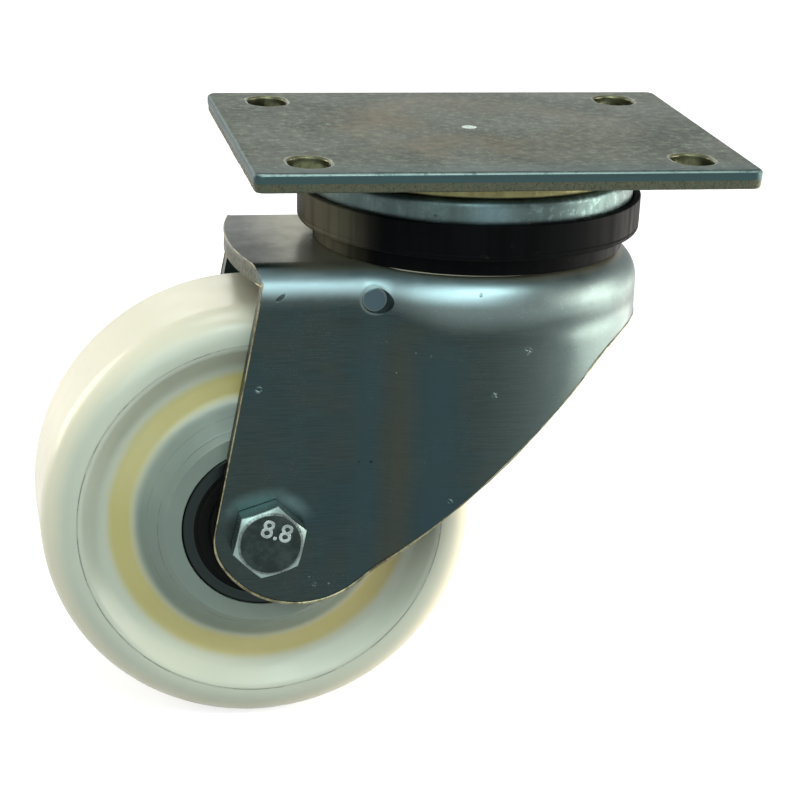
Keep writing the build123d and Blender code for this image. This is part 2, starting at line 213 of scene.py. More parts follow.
def shade(name, description, default):
    """A colour that a user may change, as it shows on a screen."""
    return FloatVectorProperty(
        name=name,
        description=description,
        default=default,
        size=3,
        min=0.0,
        max=1.0,
        subtype="COLOR_GAMMA",
    )


class CasterPlateSettings(bpy.types.PropertyGroup):
    """Sizes and colours of the top plate and the head under it"""

    corner: size("Corner", "Radius of the plate's corners", 0.003)
    roll: size("Rolled edge", "Radius of the sheared upper edge", 0.0011)
    fracture: size("Fracture", "Height of the rough torn band of the sheared edge", 0.0026)
    roughness: size("Edge roughness", "Depth of the torn band's bumps", 0.00016)
    taper: size("Taper", "How far the torn band falls back", 0.00028)
    foot: size("Foot", "Inset of the sheared edge at the underside", 0.0006)
    slot_edge_x: size("Slot inset X", "From the plate's end to a slot's centre", 0.0165)
    slot_edge_y: size("Slot inset Y", "From the plate's side to a slot's centre", 0.014)
    slot_width: size("Slot width", "Width of a slot", 0.0112)
    slot_length: size("Slot length", "Length of a slot", 0.0146)
    mark_radius: size("Centre mark", "Radius of the centre punch mark", 0.0015)
    mark_depth: size("Centre mark depth", "Depth of the centre punch mark", 0.0006)
    mark_ripple: size("Centre mark ripple", "Unevenness of the centre punch mark", 0.00022)
    mark_offset: size("Centre mark offset", "Distance of the mark behind the centre", 0.0028)
    zinc: shade("Zinc", "Plated top face", (0.242, 0.281, 0.233))
    stain: shade("Heat stain", "Brown stain over the weld", (0.36, 0.33, 0.245))
    slot_zinc: shade("Slot walls", "Yellowish zinc inside the slots", (0.37, 0.38, 0.29))
    # punched: fresh metal, and a painted glint: the whole mark is painted pale
    punched: shade("Punch mark", "Fresh metal of the centre mark, painted pale as a glint", (0.76, 0.82, 0.79))
    # sheen: a painted bluish reflection on the plate's rolled edge and towards its front
    sheen: shade("Blue sheen", "Painted bluish reflection on the rolled edge", (0.205, 0.272, 0.277))
    # rim: a painted highlight, the thin bright line along the top of the rolled edge
    rim: shade("Rim highlight", "Painted highlight along the rolled edge", (0.43, 0.49, 0.475))
    torn: shade("Torn edge", "Lower half of the sheared edge", (0.30, 0.29, 0.23))
    race: shade("Race", "Pressed race under the plate", (0.28, 0.335, 0.33))
    tint: shade("Weld tint", "Yellow heat tint of the head ring", (0.40, 0.39, 0.27))


class CasterSealSettings(bpy.types.PropertyGroup):
    """Sizes and colours of the black seal round the swivel head"""

    lip: size("Lip", "Thickness of the lip's wall", 0.002)
    foot: size("Foot", "Thickness of the foot's wall", 0.002)
    bore: size("Bore", "Inner radius of the foot", 0.0428)
    web: size("Web", "Thickness of the web", 0.002)
    wave: size("Wave", "Unevenness of the moulded lip", 0.00006)
    foot_height: size("Foot height", "From the crown up to the web", 0.0051)
    groove: size("Groove", "Depth of the moulded line above the foot", 0.0002)
    rubber: shade("Rubber", "Black seal", (0.025, 0.028, 0.03))


class CasterForkSettings(bpy.types.PropertyGroup):
    """Sizes and colours of the pressed fork"""

    burr: size("Burr", "Radius of the bright burr on the sheared edges", 0.00024)
    zinc: shade("Zinc", "Plated sheet", (0.188, 0.229, 0.224))
    # blue and brown: plating patches, and also the tones of the painted reflection streaks
    blue: shade("Blue cast", "Bluish plating patches, and a tone of the painted reflection streaks", (0.168, 0.230, 0.245))
    brown: shade("Brown cast", "Warm plating patches, and a tone of the painted reflection streaks", (0.235, 0.235, 0.20))
    # burnished: a painted highlight on the roll and the front, also the bright metal of nicks and the painted
    # ring round the press mark
    burnished: shade("Burnish and highlight", "Painted highlight on the roll and front, also rubbed metal", (0.39, 0.44, 0.435))
    # Painted highlight: the brightest band along the roll
    ridge_highlight: shade("Ridge", "Painted highlight, the brightest band of the roll", (0.55, 0.635, 0.65))
    # crown: dust, and a painted reflection: the crown's rear beside the seal is painted pale
    crown: shade("Crown", "Dust and painted reflection on the crown beside the seal", (0.56, 0.555, 0.485))
    disc: shade("Press mark", "Flat disc left by the press", (0.245, 0.305, 0.33))
    # Painted reflection: the bolt head's lit top mirrored in the leg
    bolt_reflection: shade("Bolt reflection", "Painted reflection of the bolt head", (0.34, 0.425, 0.43))
    bare: shade("Bare steel", "Torn edges of the sheet", (0.38, 0.385, 0.33))
    burr_and_edge_highlight: shade("Burr colour", "Burr of the sheared edges, fresh steel and painted edge highlight", (0.54, 0.525, 0.42))

    def painted_reflection_stripes(self):
        """Upright painted reflection streaks on the leg's bend: the middle, half the width, the strength and
        the tone of each.
        """
        return (
            (-0.0345, 0.0070, 0.6, self.blue),
            (-0.0160, 0.0120, 0.8, self.blue),
            (-0.0262, 0.0068, 0.55, self.brown),
        )


class CasterWheelSettings(bpy.types.PropertyGroup):
    """Sizes and colours of the moulded wheel"""

    hub_radius: size("Hub", "Radius of the hub", 0.029)
    hub_step: size("Hub step", "Chamfer of the hub's face", 0.0006)
    ledge: size("Ledge", "Height of the ledge between the bearings", 0.0025)
    hub_slope: size("Hub slope", "How far the hub's cone reaches out", 0.008)
    web_inner: size("Web at the hub", "Width of the web at the hub's cone", 0.043)
    web_outer: size("Web at the rim", "Width of the web at the rim", 0.0394)
    web_blend: size("Web blend", "Radius of the web's corners", 0.007)
    width: size("Width", "Width of the rim", 0.05)
    rim_wall: size("Rim wall", "Thickness of the rim at its edge", 0.0107)
    rim_slope: size("Rim slope", "How far the rim's inner side slopes", 0.0068)
    rim_blend: size("Rim blend", "Radius of the rim's inner edge", 0.003)
    shoulder: size("Shoulder", "Radius of the tread's shoulder", 0.010)
    line_depth: size("Turning line", "Depth of the fine turned lines", 0.00008)
    # tread, side and hub are one nylon: painted light on the tread, painted shade on the side and, darker, on
    # the hub
    tread: shade("Tread", "Cream tread, painted brighter as lit", (0.86, 0.83, 0.74))
    side: shade("Side", "Side of the rim, darker as painted shade", (0.735, 0.745, 0.685))
    ring: shade("Yellowed web", "Aged band of the web", (0.71, 0.655, 0.385))
    hub: shade("Hub colour", "Bluish hub, darkened as painted shade", (0.45, 0.495, 0.46))
    dirt: shade("Dirt", "Dirt in the turned lines", (0.22, 0.22, 0.19))


class CasterAxleSettings(bpy.types.PropertyGroup):
    """Sizes and colours of the axle bolt, its nut and the wheel bearings"""

    flats: size("Flats", "Width across the bolt head's flats", 0.019)
    head: size("Head", "Height of the bolt head", 0.0075)
    shank: size("Shank", "Radius of the bolt's shank", 0.006)
    pitch: size("Pitch", "Pitch of the thread", 0.00175)
    point: size("Point", "Chamfer of the bolt's end", 0.0009)
    figure_x: size("Figure X", "From the axle to the figures' middle along X", 0.0016)
    figure_z: size("Figure Z", "From the axle up to the figures' middle", 0.0036)
    figure: size("Figure", "Height of the raised property class", 0.0052)
    raised: size("Raised", "How far the figures stand up", 0.0003)
    thread: size("Thread", "Depth of the thread", 0.0008)
    threaded: size("Threaded length", "Length of the thread", 0.022)
    head_turn: FloatProperty(
        name="Head turn", description="Turn of the bolt head", default=radians(18), unit="ROTATION"
    )
    figure_turn: FloatProperty(
        name="Figure turn", description="Turn of the figures", default=radians(16), unit="ROTATION"
    )
    chamfer: FloatProperty(
        name="Chamfer", description="Slope of the head's chamfer", default=radians(30), unit="ROTATION"
    )
    zinc: shade("Bolt", "Plated bolt", (0.195, 0.237, 0.230))
    # Wear and painted highlight on the bolt head's chamfers
    bright: shade("Worn zinc", "Chamfers and figures of the bolt head: wear and painted highlight", (0.42, 0.46, 0.45))
    # Painted light: the bolt head's sides, painted bright as lit
    painted_lit_flank: shade("Flank", "Sides of the bolt head, painted bright as lit", (0.50, 0.57, 0.555))
    # Painted highlight: the raised figures are painted pale
    figures: shade("Figures", "Raised figures on the bolt head, painted pale as a highlight", (0.60, 0.65, 0.64))
    steel: shade("Bearing steel", "Ground bearing rings", (0.17, 0.20, 0.195))
    rubber: shade("Bearing seal", "Rubber bearing seals", (0.03, 0.035, 0.03))


class CasterStageSettings(bpy.types.PropertyGroup):
    """The camera, the lamps and the floor"""

    lens: FloatProperty(name="Lens", description="Focal length", default=112.09, unit="CAMERA")
    distance: size("Distance", "From the camera to its target", 0.736555)
    azimuth: FloatProperty(
        name="Azimuth", description="Camera's turn round Z", default=radians(-11.419), unit="ROTATION"
    )
    elevation: FloatProperty(
        name="Elevation", description="Camera's height angle", default=radians(18.042), unit="ROTATION"
    )
    roll: FloatProperty(
        name="Roll", description="Camera's roll", default=radians(2.125), unit="ROTATION"
    )
    target: FloatVectorProperty(
        name="Target",
        description="Point in the middle of the picture",
        default=(-0.017923, 0.0, -0.081358),
        size=3,
        subtype="XYZ",
        unit="LENGTH",
    )
    floor: shade("Floor", "Pale floor", (0.70, 0.70, 0.70))


# Surfaces as grids of points


def grid_quads(rows, columns, wrap_rows=False, wrap_columns=False):
    """Faces of a grid of points: each joins a point to its neighbours in its row and the next row."""
    row, column = np.meshgrid(
        np.arange(rows if wrap_rows else rows - 1),
        np.arange(columns if wrap_columns else columns - 1),
        indexing="ij",
    )
    below, beside = (row + 1) % rows, (column + 1) % columns
    here, there = row * columns, below * columns
    return np.stack([here + column, here + beside, there + beside, there + column], axis=-1).reshape(-1, 4)


def rounded(corners, radii, steps=10):
    """A closed outline with its corners rounded.

    Each corner becomes an arc that touches both of its sides: the arc's centre lies on the
    corner's bisector, its radius over the sine of half the corner's angle away.
    """
    corners = np.asarray(corners, float)
    line = []
    for i, radius in enumerate(radii):
        before, corner, after = corners[i - 1], corners[i], corners[(i + 1) % len(corners)]
        if radius == 0:
            line.append(corner[None])
            continue
        to_before = (before - corner) / np.linalg.norm(before - corner)
        to_after = (after - corner) / np.linalg.norm(after - corner)
        half = np.arccos(np.clip(to_before @ to_after, -1, 1)) / 2
        bisector = (to_before + to_after) / np.linalg.norm(to_before + to_after)
        centre = corner + bisector * radius / np.sin(half)
        start = corner + to_before * radius / np.tan(half) - centre
        end = corner + to_after * radius / np.tan(half) - centre
        turn = np.arctan2(start[0] * end[1] - start[1] * end[0], start @ end)
        angle = np.linspace(0, turn, steps)[:, None]
        across = np.array([-start[1], start[0]])
        line.append(centre + start * np.cos(angle) + across * np.sin(angle))
    return np.concatenate(line)


def resampled(line, step):
    """The same closed line with points no further apart than a step, its own points kept."""
    ends = np.roll(line, -1, axis=0)
    counts = np.maximum(1, np.ceil(np.linalg.norm(ends - line, axis=1) / step).astype(int))
    owner = np.repeat(np.arange(len(line)), counts)
    within = np.arange(counts.sum()) - np.repeat(np.cumsum(counts) - counts, counts)
    share = (within / counts[owner])[:, None]
    return line[owner] * (1 - share) + ends[owner] * share


def value_noise(x, y, seed, wrap=64):
    """Smooth random values from -1 to 1: a table of random numbers, blended by smoothstep between cells."""
    table = np.random.default_rng(seed).uniform(-1, 1, (wrap, wrap))
    column, row = np.floor(x).astype(int), np.floor(y).astype(int)
    across, down = x - column, y - row
    across, down = across * across * (3 - 2 * across), down * down * (3 - 2 * down)
    left, right = column % wrap, (column + 1) % wrap
    low, high = row % wrap, (row + 1) % wrap
    lower = table[low, left] * (1 - across) + table[low, right] * across
    upper = table[high, left] * (1 - across) + table[high, right] * across
    return lower * (1 - down) + upper * down


def round_turn(count):
    """Even angles round a full turn."""
    return np.arange(count) * 2 * pi / count


def turned(profile, axis, count):
    """Points of a turned form: a profile of radius and distance along the axis, carried round it.

    Each point is the axis origin, plus the distance along the axis, plus the radius times the
    cosine and sine of the angle along the two directions across the axis.
    """
    origin, out, across = (np.array(v) for v in axis)
    angles = round_turn(count)[:, None]
    ring = np.cos(angles) * across + np.sin(angles) * np.cross(out, across)
    radius, along = profile[:, 0, None, None], profile[:, 1, None, None]
    return origin + along * out + radius * ring


def carried(path, outward, inset, height):
    """Points of a grid of insets and heights, whose columns follow a flat path.

    Each point is the path's point, less the inset times the path's outward direction, plus the height.
    """
    flat = path[None] - inset[..., None] * outward[None]
    return np.concatenate([flat, height[..., None]], axis=-1)


def outward_of(path):
    """Unit directions square to a closed flat path that runs anticlockwise, pointing out of it."""
    along = np.roll(path, -1, axis=0) - np.roll(path, 1, axis=0)
    across = np.stack([along[:, 1], -along[:, 0]], axis=-1)
    return across / np.linalg.norm(across, axis=1)[:, None]


def linked(name, data):
    """A new object of the scene that holds some data."""
    made = bpy.data.objects.new(name, data)
    bpy.context.scene.collection.objects.link(made)
    return made


def as_mesh(name, draft):
    """The mesh that a curve or a text makes, without the draft itself."""
    bpy.context.view_layer.update()
    mesh = bpy.data.meshes.new_from_object(draft.evaluated_get(bpy.context.evaluated_depsgraph_get()))
    bpy.data.objects.remove(draft)
    mesh.name = name
    mesh.materials.clear()
    return mesh


def make_piece(name, surfaces, body, finishes, stands_for=(), sharp=radians(35)):
    """One piece from groups of points, faces and finish number, with no doubles and its faces turned out."""
    points, faces, numbers, base = [], [], [], 0
    for surface, quads, number in surfaces:
        flat = np.asarray(surface, float).reshape(-1, 3)
        points.append(flat)
        faces += (np.asarray(quads) + base).tolist()
        numbers += [number] * len(quads)
        base += len(flat)
    mesh = bpy.data.meshes.new(name)
    mesh.from_pydata(np.concatenate(points).tolist(), [], faces)
    mesh.polygons.foreach_set("material_index", numbers)
    solid = bmesh.new()
    solid.from_mesh(mesh)
    bmesh.ops.remove_doubles(solid, verts=solid.verts, dist=2e-6)
    bmesh.ops.dissolve_degenerate(solid, edges=solid.edges, dist=1e-7)
    bmesh.ops.recalc_face_normals(solid, faces=solid.faces)
    solid.to_mesh(mesh)
    solid.free()
    mesh.shade_smooth()
    mesh.set_sharp_from_angle(angle=sharp)
    piece = linked(name, mesh)
    for finish in finishes:
        mesh.materials.append(finish)
    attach(piece, body)
    if stands_for:
        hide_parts(*stands_for)
    return piece


def turned_piece(name, profile, axis, count, body, finish, stands_for=(), sharp=radians(35)):
    """A piece turned from one closed outline of radius and distance along the axis."""
    surface = turned(profile, axis, count)
    quads = grid_quads(surface.shape[0], surface.shape[1], wrap_rows=True, wrap_columns=True)
    return make_piece(name, [(surface, quads, 0)], body, [finish], stands_for, sharp)


# Materials


def linear(colour):
    """A screen colour as the shader's own scene value."""
    value = np.array(colour[:], float)
    return tuple(np.where(value <= 0.04045, value / 12.92, ((value + 0.055) / 1.055) ** 2.4)) + (1.0,)


def shaded(colour, share):
    """A screen colour made darker or brighter by a share."""
    return [min(1.0, c * share) for c in colour]


class Finish:
    """A procedural material being built, patterned on Object coordinates."""

    def __init__(self, name, **constants):
        self.material = bpy.data.materials.new(name)
        self.material.use_nodes = True
        self.tree = self.material.node_tree
        self.shader = self.tree.nodes["Principled BSDF"]
        for socket, value in constants.items():
            self.shader.inputs[socket.replace("_", " ")].default_value = value
        self.place = self.tree.nodes.new("ShaderNodeTexCoord").outputs["Object"]
        self.normal = None

    def add(self, kind, inputs, **settings):
        """A node with its settings made and its inputs fed by sockets or values."""
        return add_node(self.tree, kind, inputs, **settings)

    def moved(self, centre=(0, 0, 0), turn=(0, 0, 0), stretch=(1, 1, 1)):
        """Object coordinates measured from a centre, turned, and stretched by a length on each axis."""
        inputs = {"Vector": self.place, "Location": centre, "Rotation": turn, "Scale": stretch}
        return self.add("ShaderNodeMapping", inputs, vector_type="TEXTURE").outputs[0]

    def noise(self, scale, detail=4.0, rough=0.55, vector=None, distortion=0.0):
        """Cloudy pattern, mostly between 0.3 and 0.7."""
        inputs = {
            "Vector": vector or self.place,
            "Scale": scale,
            "Detail": detail,
            "Roughness": rough,
            "Distortion": distortion,
        }
        return self.add("ShaderNodeTexNoise", inputs).outputs["Fac"]

    def ranged(self, value, low, high, to_low=0.0, to_high=1.0, smooth=True):
        """A value carried from one range to another, and held at its ends."""
        inputs = {"Value": value, "From Min": low, "From Max": high, "To Min": to_low, "To Max": to_high}
        kind = "SMOOTHSTEP" if smooth else "LINEAR"
        return self.add("ShaderNodeMapRange", inputs, interpolation_type=kind).outputs["Result"]

    def maths(self, operation, *values):
        """The result of one sum on sockets and values."""
        return self.add("ShaderNodeMath", dict(enumerate(values)), operation=operation).outputs[0]

    def times(self, product, *others):
        """The product of sockets and values."""
        for other in others:
            product = self.maths("MULTIPLY", product, other)
        return product

    def pushed(self, value, pattern, amount):
        """A value plus an amount of a pattern."""
        return self.maths("MULTIPLY_ADD", pattern, amount, value)

    def wavered(self, value, pattern, amount):
        """A value that a pattern moves up and down, by half an amount at most."""
        return self.maths("ADD", value, self.maths("MULTIPLY_ADD", pattern, amount, -amount / 2))

    def gap(self, value, middle):
        """How far a value is from a middle, on either side."""
        return self.maths("ABSOLUTE", self.maths("SUBTRACT", value, middle))

    def hump(self, value):
        """A hump: e to the power of minus the value's square."""
        return self.maths("EXPONENT", self.times(value, value, -1.0))

    def mixed(self, factor, first, second):
        """One colour laid over another, each a socket or a screen colour."""
        inputs = {0: factor, 6: first, 7: second}
        for place in (6, 7):
            if not isinstance(inputs[place], bpy.types.NodeSocket):
                inputs[place] = linear(inputs[place])
        return self.add("ShaderNodeMix", inputs, data_type="RGBA").outputs[2]

    def spot(self, vector=None):
        """The three parts of a vector, or of the Object coordinates."""
        parts = self.add("ShaderNodeSeparateXYZ", {0: vector or self.place}).outputs
        return parts["X"], parts["Y"], parts["Z"]

    def length(self, vector):
        """The length of a vector."""
        return self.add("ShaderNodeVectorMath", {0: vector}, operation="LENGTH").outputs["Value"]

    def from_axis(self, centre, axis):
        """Distance from an axis through a centre: 0, 1 or 2 for X, Y or Z."""
        flat = [1.0, 1.0, 1.0]
        flat[axis] = 0.0
        kept = self.add("ShaderNodeVectorMath", {0: self.moved(centre), 1: flat}, operation="MULTIPLY")
        return self.length(kept.outputs["Vector"])

    def scratches(self, turn, scale, strength):
        """Thin straight scratches along one direction, from 0 to a strength, kept to patches."""
        lines = self.noise(scale, detail=1.0, vector=self.moved(turn=turn, stretch=(1.0, 0.02, 0.02)))
        patches = self.noise(scale * 0.6, detail=2.0)
        return self.times(self.ranged(lines, 0.68, 0.73), self.ranged(patches, 0.50, 0.62), strength)

    def dots(self, scale, dot, patch_scale, patch, strength=1.0):
        """Small dots, from 0 to a strength, kept to patches."""
        inputs = {"Vector": self.place, "Scale": scale, "Randomness": 1.0}
        cells = self.add("ShaderNodeTexVoronoi", inputs, feature="F1").outputs["Distance"]
        dots = self.ranged(cells, *dot, strength, 0.0)
        return self.times(dots, self.ranged(self.noise(patch_scale), *patch))

    def bump(self, height, distance, strength=1.0):
        """Adds relief to the surface: a height pattern and the depth that it stands for."""
        inputs = {"Height": height, "Distance": distance, "Strength": strength}
        if self.normal:
            inputs["Normal"] = self.normal
        self.normal = self.add("ShaderNodeBump", inputs).outputs["Normal"]

    def done(self, colour=None, roughness=None):
        """Feeds the shader its colour, roughness and relief, and gives the material."""
        for socket, value in (("Base Color", colour), ("Roughness", roughness), ("Normal", self.normal)):
            if value is not None:
                self.tree.links.new(value, self.shader.inputs[socket])
        return self.material


def add_node(tree, kind, inputs, **settings):
    """A node of a tree, with its settings made and its inputs fed by sockets or values."""
    node = tree.nodes.new(kind)
    for key, value in settings.items():
        setattr(node, key, value)
    for key, value in inputs.items():
        if isinstance(value, bpy.types.NodeSocket):
            tree.links.new(value, node.inputs[key])
        else:
            node.inputs[key].default_value = value
    return node


def plate_finish(name, settings):
    """Top plate: grey-green zinc with fine grain and a faint heat stain over the weld; a painted bluish
    reflection on the edge and towards the front, and a painted highlight line along the rolled edge.
    """
    finish = Finish(name, Metallic=1.0, Specular_Tint=SOFT_TINT)
    x, y, z = finish.spot()
    zinc = settings.zinc
    clouds = finish.noise(26.0, detail=6.0, rough=0.65)
    grain = finish.noise(1100.0, detail=4.0, rough=0.8)
    coarse = finish.noise(340.0, detail=6.0, rough=0.8)
    colour = finish.mixed(finish.ranged(clouds, 0.38, 0.66), zinc, shaded(zinc, 0.86))
    colour = finish.mixed(finish.ranged(grain, 0.44, 0.56, 0.0, 0.8), colour, shaded(zinc, 0.72))
    colour = finish.mixed(finish.ranged(coarse, 0.50, 0.62, 0.0, 0.9), colour, shaded(zinc, 1.5))
    colour = finish.mixed(finish.ranged(coarse, 0.49, 0.39, 0.0, 0.9), colour, shaded(zinc, 0.5))
    away = finish.wavered(finish.from_axis(WELD_MIDDLE, 2), clouds, 0.05)
    weld = finish.times(
        finish.ranged(away, *ZONES["weld inside"]),
        finish.ranged(away, *ZONES["weld outside"], 1.0, 0.0),
        finish.ranged(finish.noise(34.0, detail=6.0, rough=0.6), 0.36, 0.60),
        finish.ranged(x, *ZONES["weld side"], 0.95, 0.4),
        finish.ranged(coarse, 0.4, 0.6, 0.5, 1.0),
    )
    colour = finish.mixed(weld, colour, settings.stain)
    # Painted reflection: the top face turns bluish and brighter towards the front edge
    near = finish.ranged(finish.pushed(y, clouds, 0.01), *ZONES["plate front"], 0.0, 0.55)
    colour = finish.mixed(near, colour, shaded(settings.sheen, 1.18))
    specks = finish.dots(360.0, (0.12, 0.24), 45.0, (0.46, 0.60), 0.55)
    colour = finish.mixed(specks, colour, shaded(zinc, 1.8))
    colour = finish.mixed(finish.scratches((0.1, 0.0, 0.4), 130.0, 0.5), colour, shaded(zinc, 1.5))
    # Painted reflection: the rolled edge below the top face takes the bluish sheen colour
    colour = finish.mixed(finish.ranged(z, *ZONES["plate edge"]), colour, settings.sheen)
    # Painted highlight: a thin bright line along the top of the rolled edge, broken by noise
    line = finish.ranged(finish.gap(z, RIM_HIGHLIGHT_Z), *ZONES["rim highlight"], 0.95, 0.0)
    line = finish.times(line, finish.ranged(coarse, 0.34, 0.5, 0.25, 1.0))
    colour = finish.mixed(line, colour, settings.rim)
    finish.bump(grain, 0.000035, 0.5)
    finish.bump(finish.noise(140.0, detail=4.0), 0.00004, 0.4)
    return finish.done(colour, finish.ranged(clouds, 0.3, 0.7, 0.36, 0.46))


def torn_finish(name, settings):
    """Torn lower half of a sheared edge: rough, brown and grey, with upright tears."""
    finish = Finish(name, Metallic=0.75)
    tears = finish.noise(1.0, detail=5.0, rough=0.7, vector=finish.moved(stretch=EDGE_TEARS))
    grit = finish.noise(1400.0, detail=4.0, rough=0.7)
    colour = finish.mixed(finish.ranged(tears, 0.35, 0.65), settings.torn, settings.zinc)
    colour = finish.mixed(finish.ranged(grit, 0.5, 0.7, 0.0, 0.6), colour, shaded(settings.torn, 0.4))
    finish.bump(tears, 0.00018, 0.8)
    finish.bump(grit, 0.00006, 0.7)
    return finish.done(colour, finish.ranged(grit, 0.3, 0.7, 0.45, 0.75))


def race_finish(name, colour, rough, reflection_share):
    """Zinc of the swivel head: clouded and pitted, with upright wipes, brighter mottling on its right side
    that is partly painted highlight, and an upright band of painted reflection.
    """
    finish = Finish(name, Metallic=1.0, Specular_Tint=SOFT_TINT)
    x, _, _ = finish.spot()
    clouds = finish.noise(22.0, detail=5.0, rough=0.6)
    patches = finish.noise(55.0, detail=6.0, rough=0.65, distortion=0.6)
    wipes = finish.noise(1.0, detail=3.0, vector=finish.moved(stretch=RACE_WIPES))
    pits = finish.dots(230.0, (0.10, 0.16), 90.0, (0.58, 0.66))
    tone = finish.mixed(finish.ranged(clouds, 0.42, 0.62), colour, shaded(colour, 0.85))
    tone = finish.mixed(finish.ranged(patches, 0.50, 0.72), tone, shaded(colour, 1.08))
    tone = finish.mixed(finish.ranged(wipes, 0.35, 0.65, 0.0, 0.35), tone, shaded(colour, 0.72))
    tone = finish.mixed(pits, tone, shaded(colour, 0.35))
    tone = finish.mixed(finish.scratches((0.3, 0.2, 0.5), 160.0, 0.6), tone, shaded(colour, 1.9))
    # Mottling and painted highlight: brighter mottling, kept mostly to the right (+X) side, where the race is
    # lit
    mottle_and_highlight = finish.ranged(finish.noise(420.0, detail=5.0, rough=0.7), 0.5, 0.66)
    mottle_and_highlight = finish.times(mottle_and_highlight, finish.ranged(x, *ZONES["race mottle"], 0.12, 0.6))
    tone = finish.mixed(mottle_and_highlight, tone, shaded(colour, 1.5))
    # Painted reflection: a pale blue upright band on the race, as of a bright pane
    painted_reflection = finish.ranged(finish.gap(x, PAINTED_REFLECTION_X), *ZONES["race window"], reflection_share, 0.0)
    tone = finish.mixed(painted_reflection, tone, PAINTED_WINDOW_REFLECTION)
    finish.bump(wipes, 0.00002, 0.5)
    finish.bump(finish.maths("SUBTRACT", finish.noise(900.0, detail=3.0), pits), 0.00003, 0.35)
    dull = finish.ranged(patches, 0.3, 0.7, rough - 0.06, rough + 0.08)
    return finish.done(tone, finish.maths("ADD", dull, finish.ranged(wipes, 0.3, 0.7, -0.03, 0.05)))


def seal_finish(name, colour):
    """Moulded black seal: satin, with wiped upright marks, a little dust and a painted warm sheen on its left
    front.
    """
    finish = Finish(name, Specular_IOR_Level=0.018)
    x, y, _ = finish.spot()
    wipes = finish.noise(1.0, detail=4.0, vector=finish.moved(stretch=SEAL_WIPES))
    dust = finish.noise(260.0, detail=5.0, rough=0.7)
    tone = finish.mixed(finish.ranged(wipes, 0.35, 0.7), colour, shaded(colour, 1.7))
    tone = finish.mixed(finish.ranged(dust, 0.62, 0.78, 0.0, 0.35), tone, DUST)
    # Painted reflection: a pale warm sheen in upright wipes on the seal's left front (-X, -Y)
    patch = finish.times(
        finish.ranged(x, *ZONES["painted seal sheen x"], 0.0, 0.9),
        finish.ranged(y, *ZONES["painted seal sheen y"]),
        finish.ranged(wipes, 0.3, 0.6, 0.55, 1.0),
    )
    tone = finish.mixed(patch, tone, PAINTED_WARM_SHEEN)
    finish.bump(wipes, 0.00003, 0.4)
    finish.bump(dust, 0.00001, 0.4)
    return finish.done(tone, finish.ranged(wipes, 0.3, 0.7, 0.42, 0.60))


def nylon_finish(name, settings):
    """Moulded nylon: a tread painted brighter and warmer as lit from above, a side and a hub painted darker
    as shade, a yellowed band on the web and dirt in the turned lines.
    """
    finish = Finish(
        name,
        Subsurface_Weight=0.35,
        Subsurface_Scale=0.004,
        Subsurface_Radius=(1.0, 0.8, 0.55),
        IOR=1.53,
        Specular_IOR_Level=0.35,
        Coat_Weight=0.15,
        Coat_Roughness=0.12,
    )
    away = finish.from_axis(AXLE, 1)
    edge = finish.wavered(away, finish.noise(30.0, detail=2.0), 0.0016)
    # Painted light: the tread is painted brighter and warmer than the side, which is in painted shade
    tone = finish.mixed(finish.ranged(edge, *ZONES["tread"]), settings.side, settings.tread)
    # Painted shade: the hub, shadowed by the fork and sunk in the web, is painted darker
    tone = finish.mixed(finish.ranged(edge, *ZONES["hub"], 1.0, 0.0), tone, settings.hub)
    band = finish.times(
        finish.ranged(edge, *ZONES["band inside"]), finish.ranged(edge, *ZONES["band outside"], 1.0, 0.0), 0.9
    )
    tone = finish.mixed(band, tone, settings.ring)
    tone = finish.mixed(finish.ranged(finish.noise(18.0), 0.35, 0.7, 0.0, 0.12), tone, PALE_NYLON)
    broken = finish.ranged(finish.noise(70.0, detail=5.0, rough=0.75), 0.46, 0.56)
    for radius, half, strength in TURNED_MARKS:
        line = finish.ranged(finish.gap(away, radius), half * 0.6, half * 1.6, strength, 0.0)
        tone = finish.mixed(finish.times(line, broken), tone, settings.dirt)
    tone = finish.mixed(finish.dots(75.0, (0.035, 0.055), 40.0, (0.6, 0.66), 0.7), tone, settings.dirt)
    finish.bump(finish.maths("SINE", finish.times(away, 2 * pi / TURNING_STEP)), 0.000004, 0.5)
    finish.bump(finish.noise(150.0, detail=4.0), 0.00003, 0.3)
    return finish.done(tone, finish.ranged(finish.noise(120.0, detail=5.0), 0.3, 0.7, 0.30, 0.42))


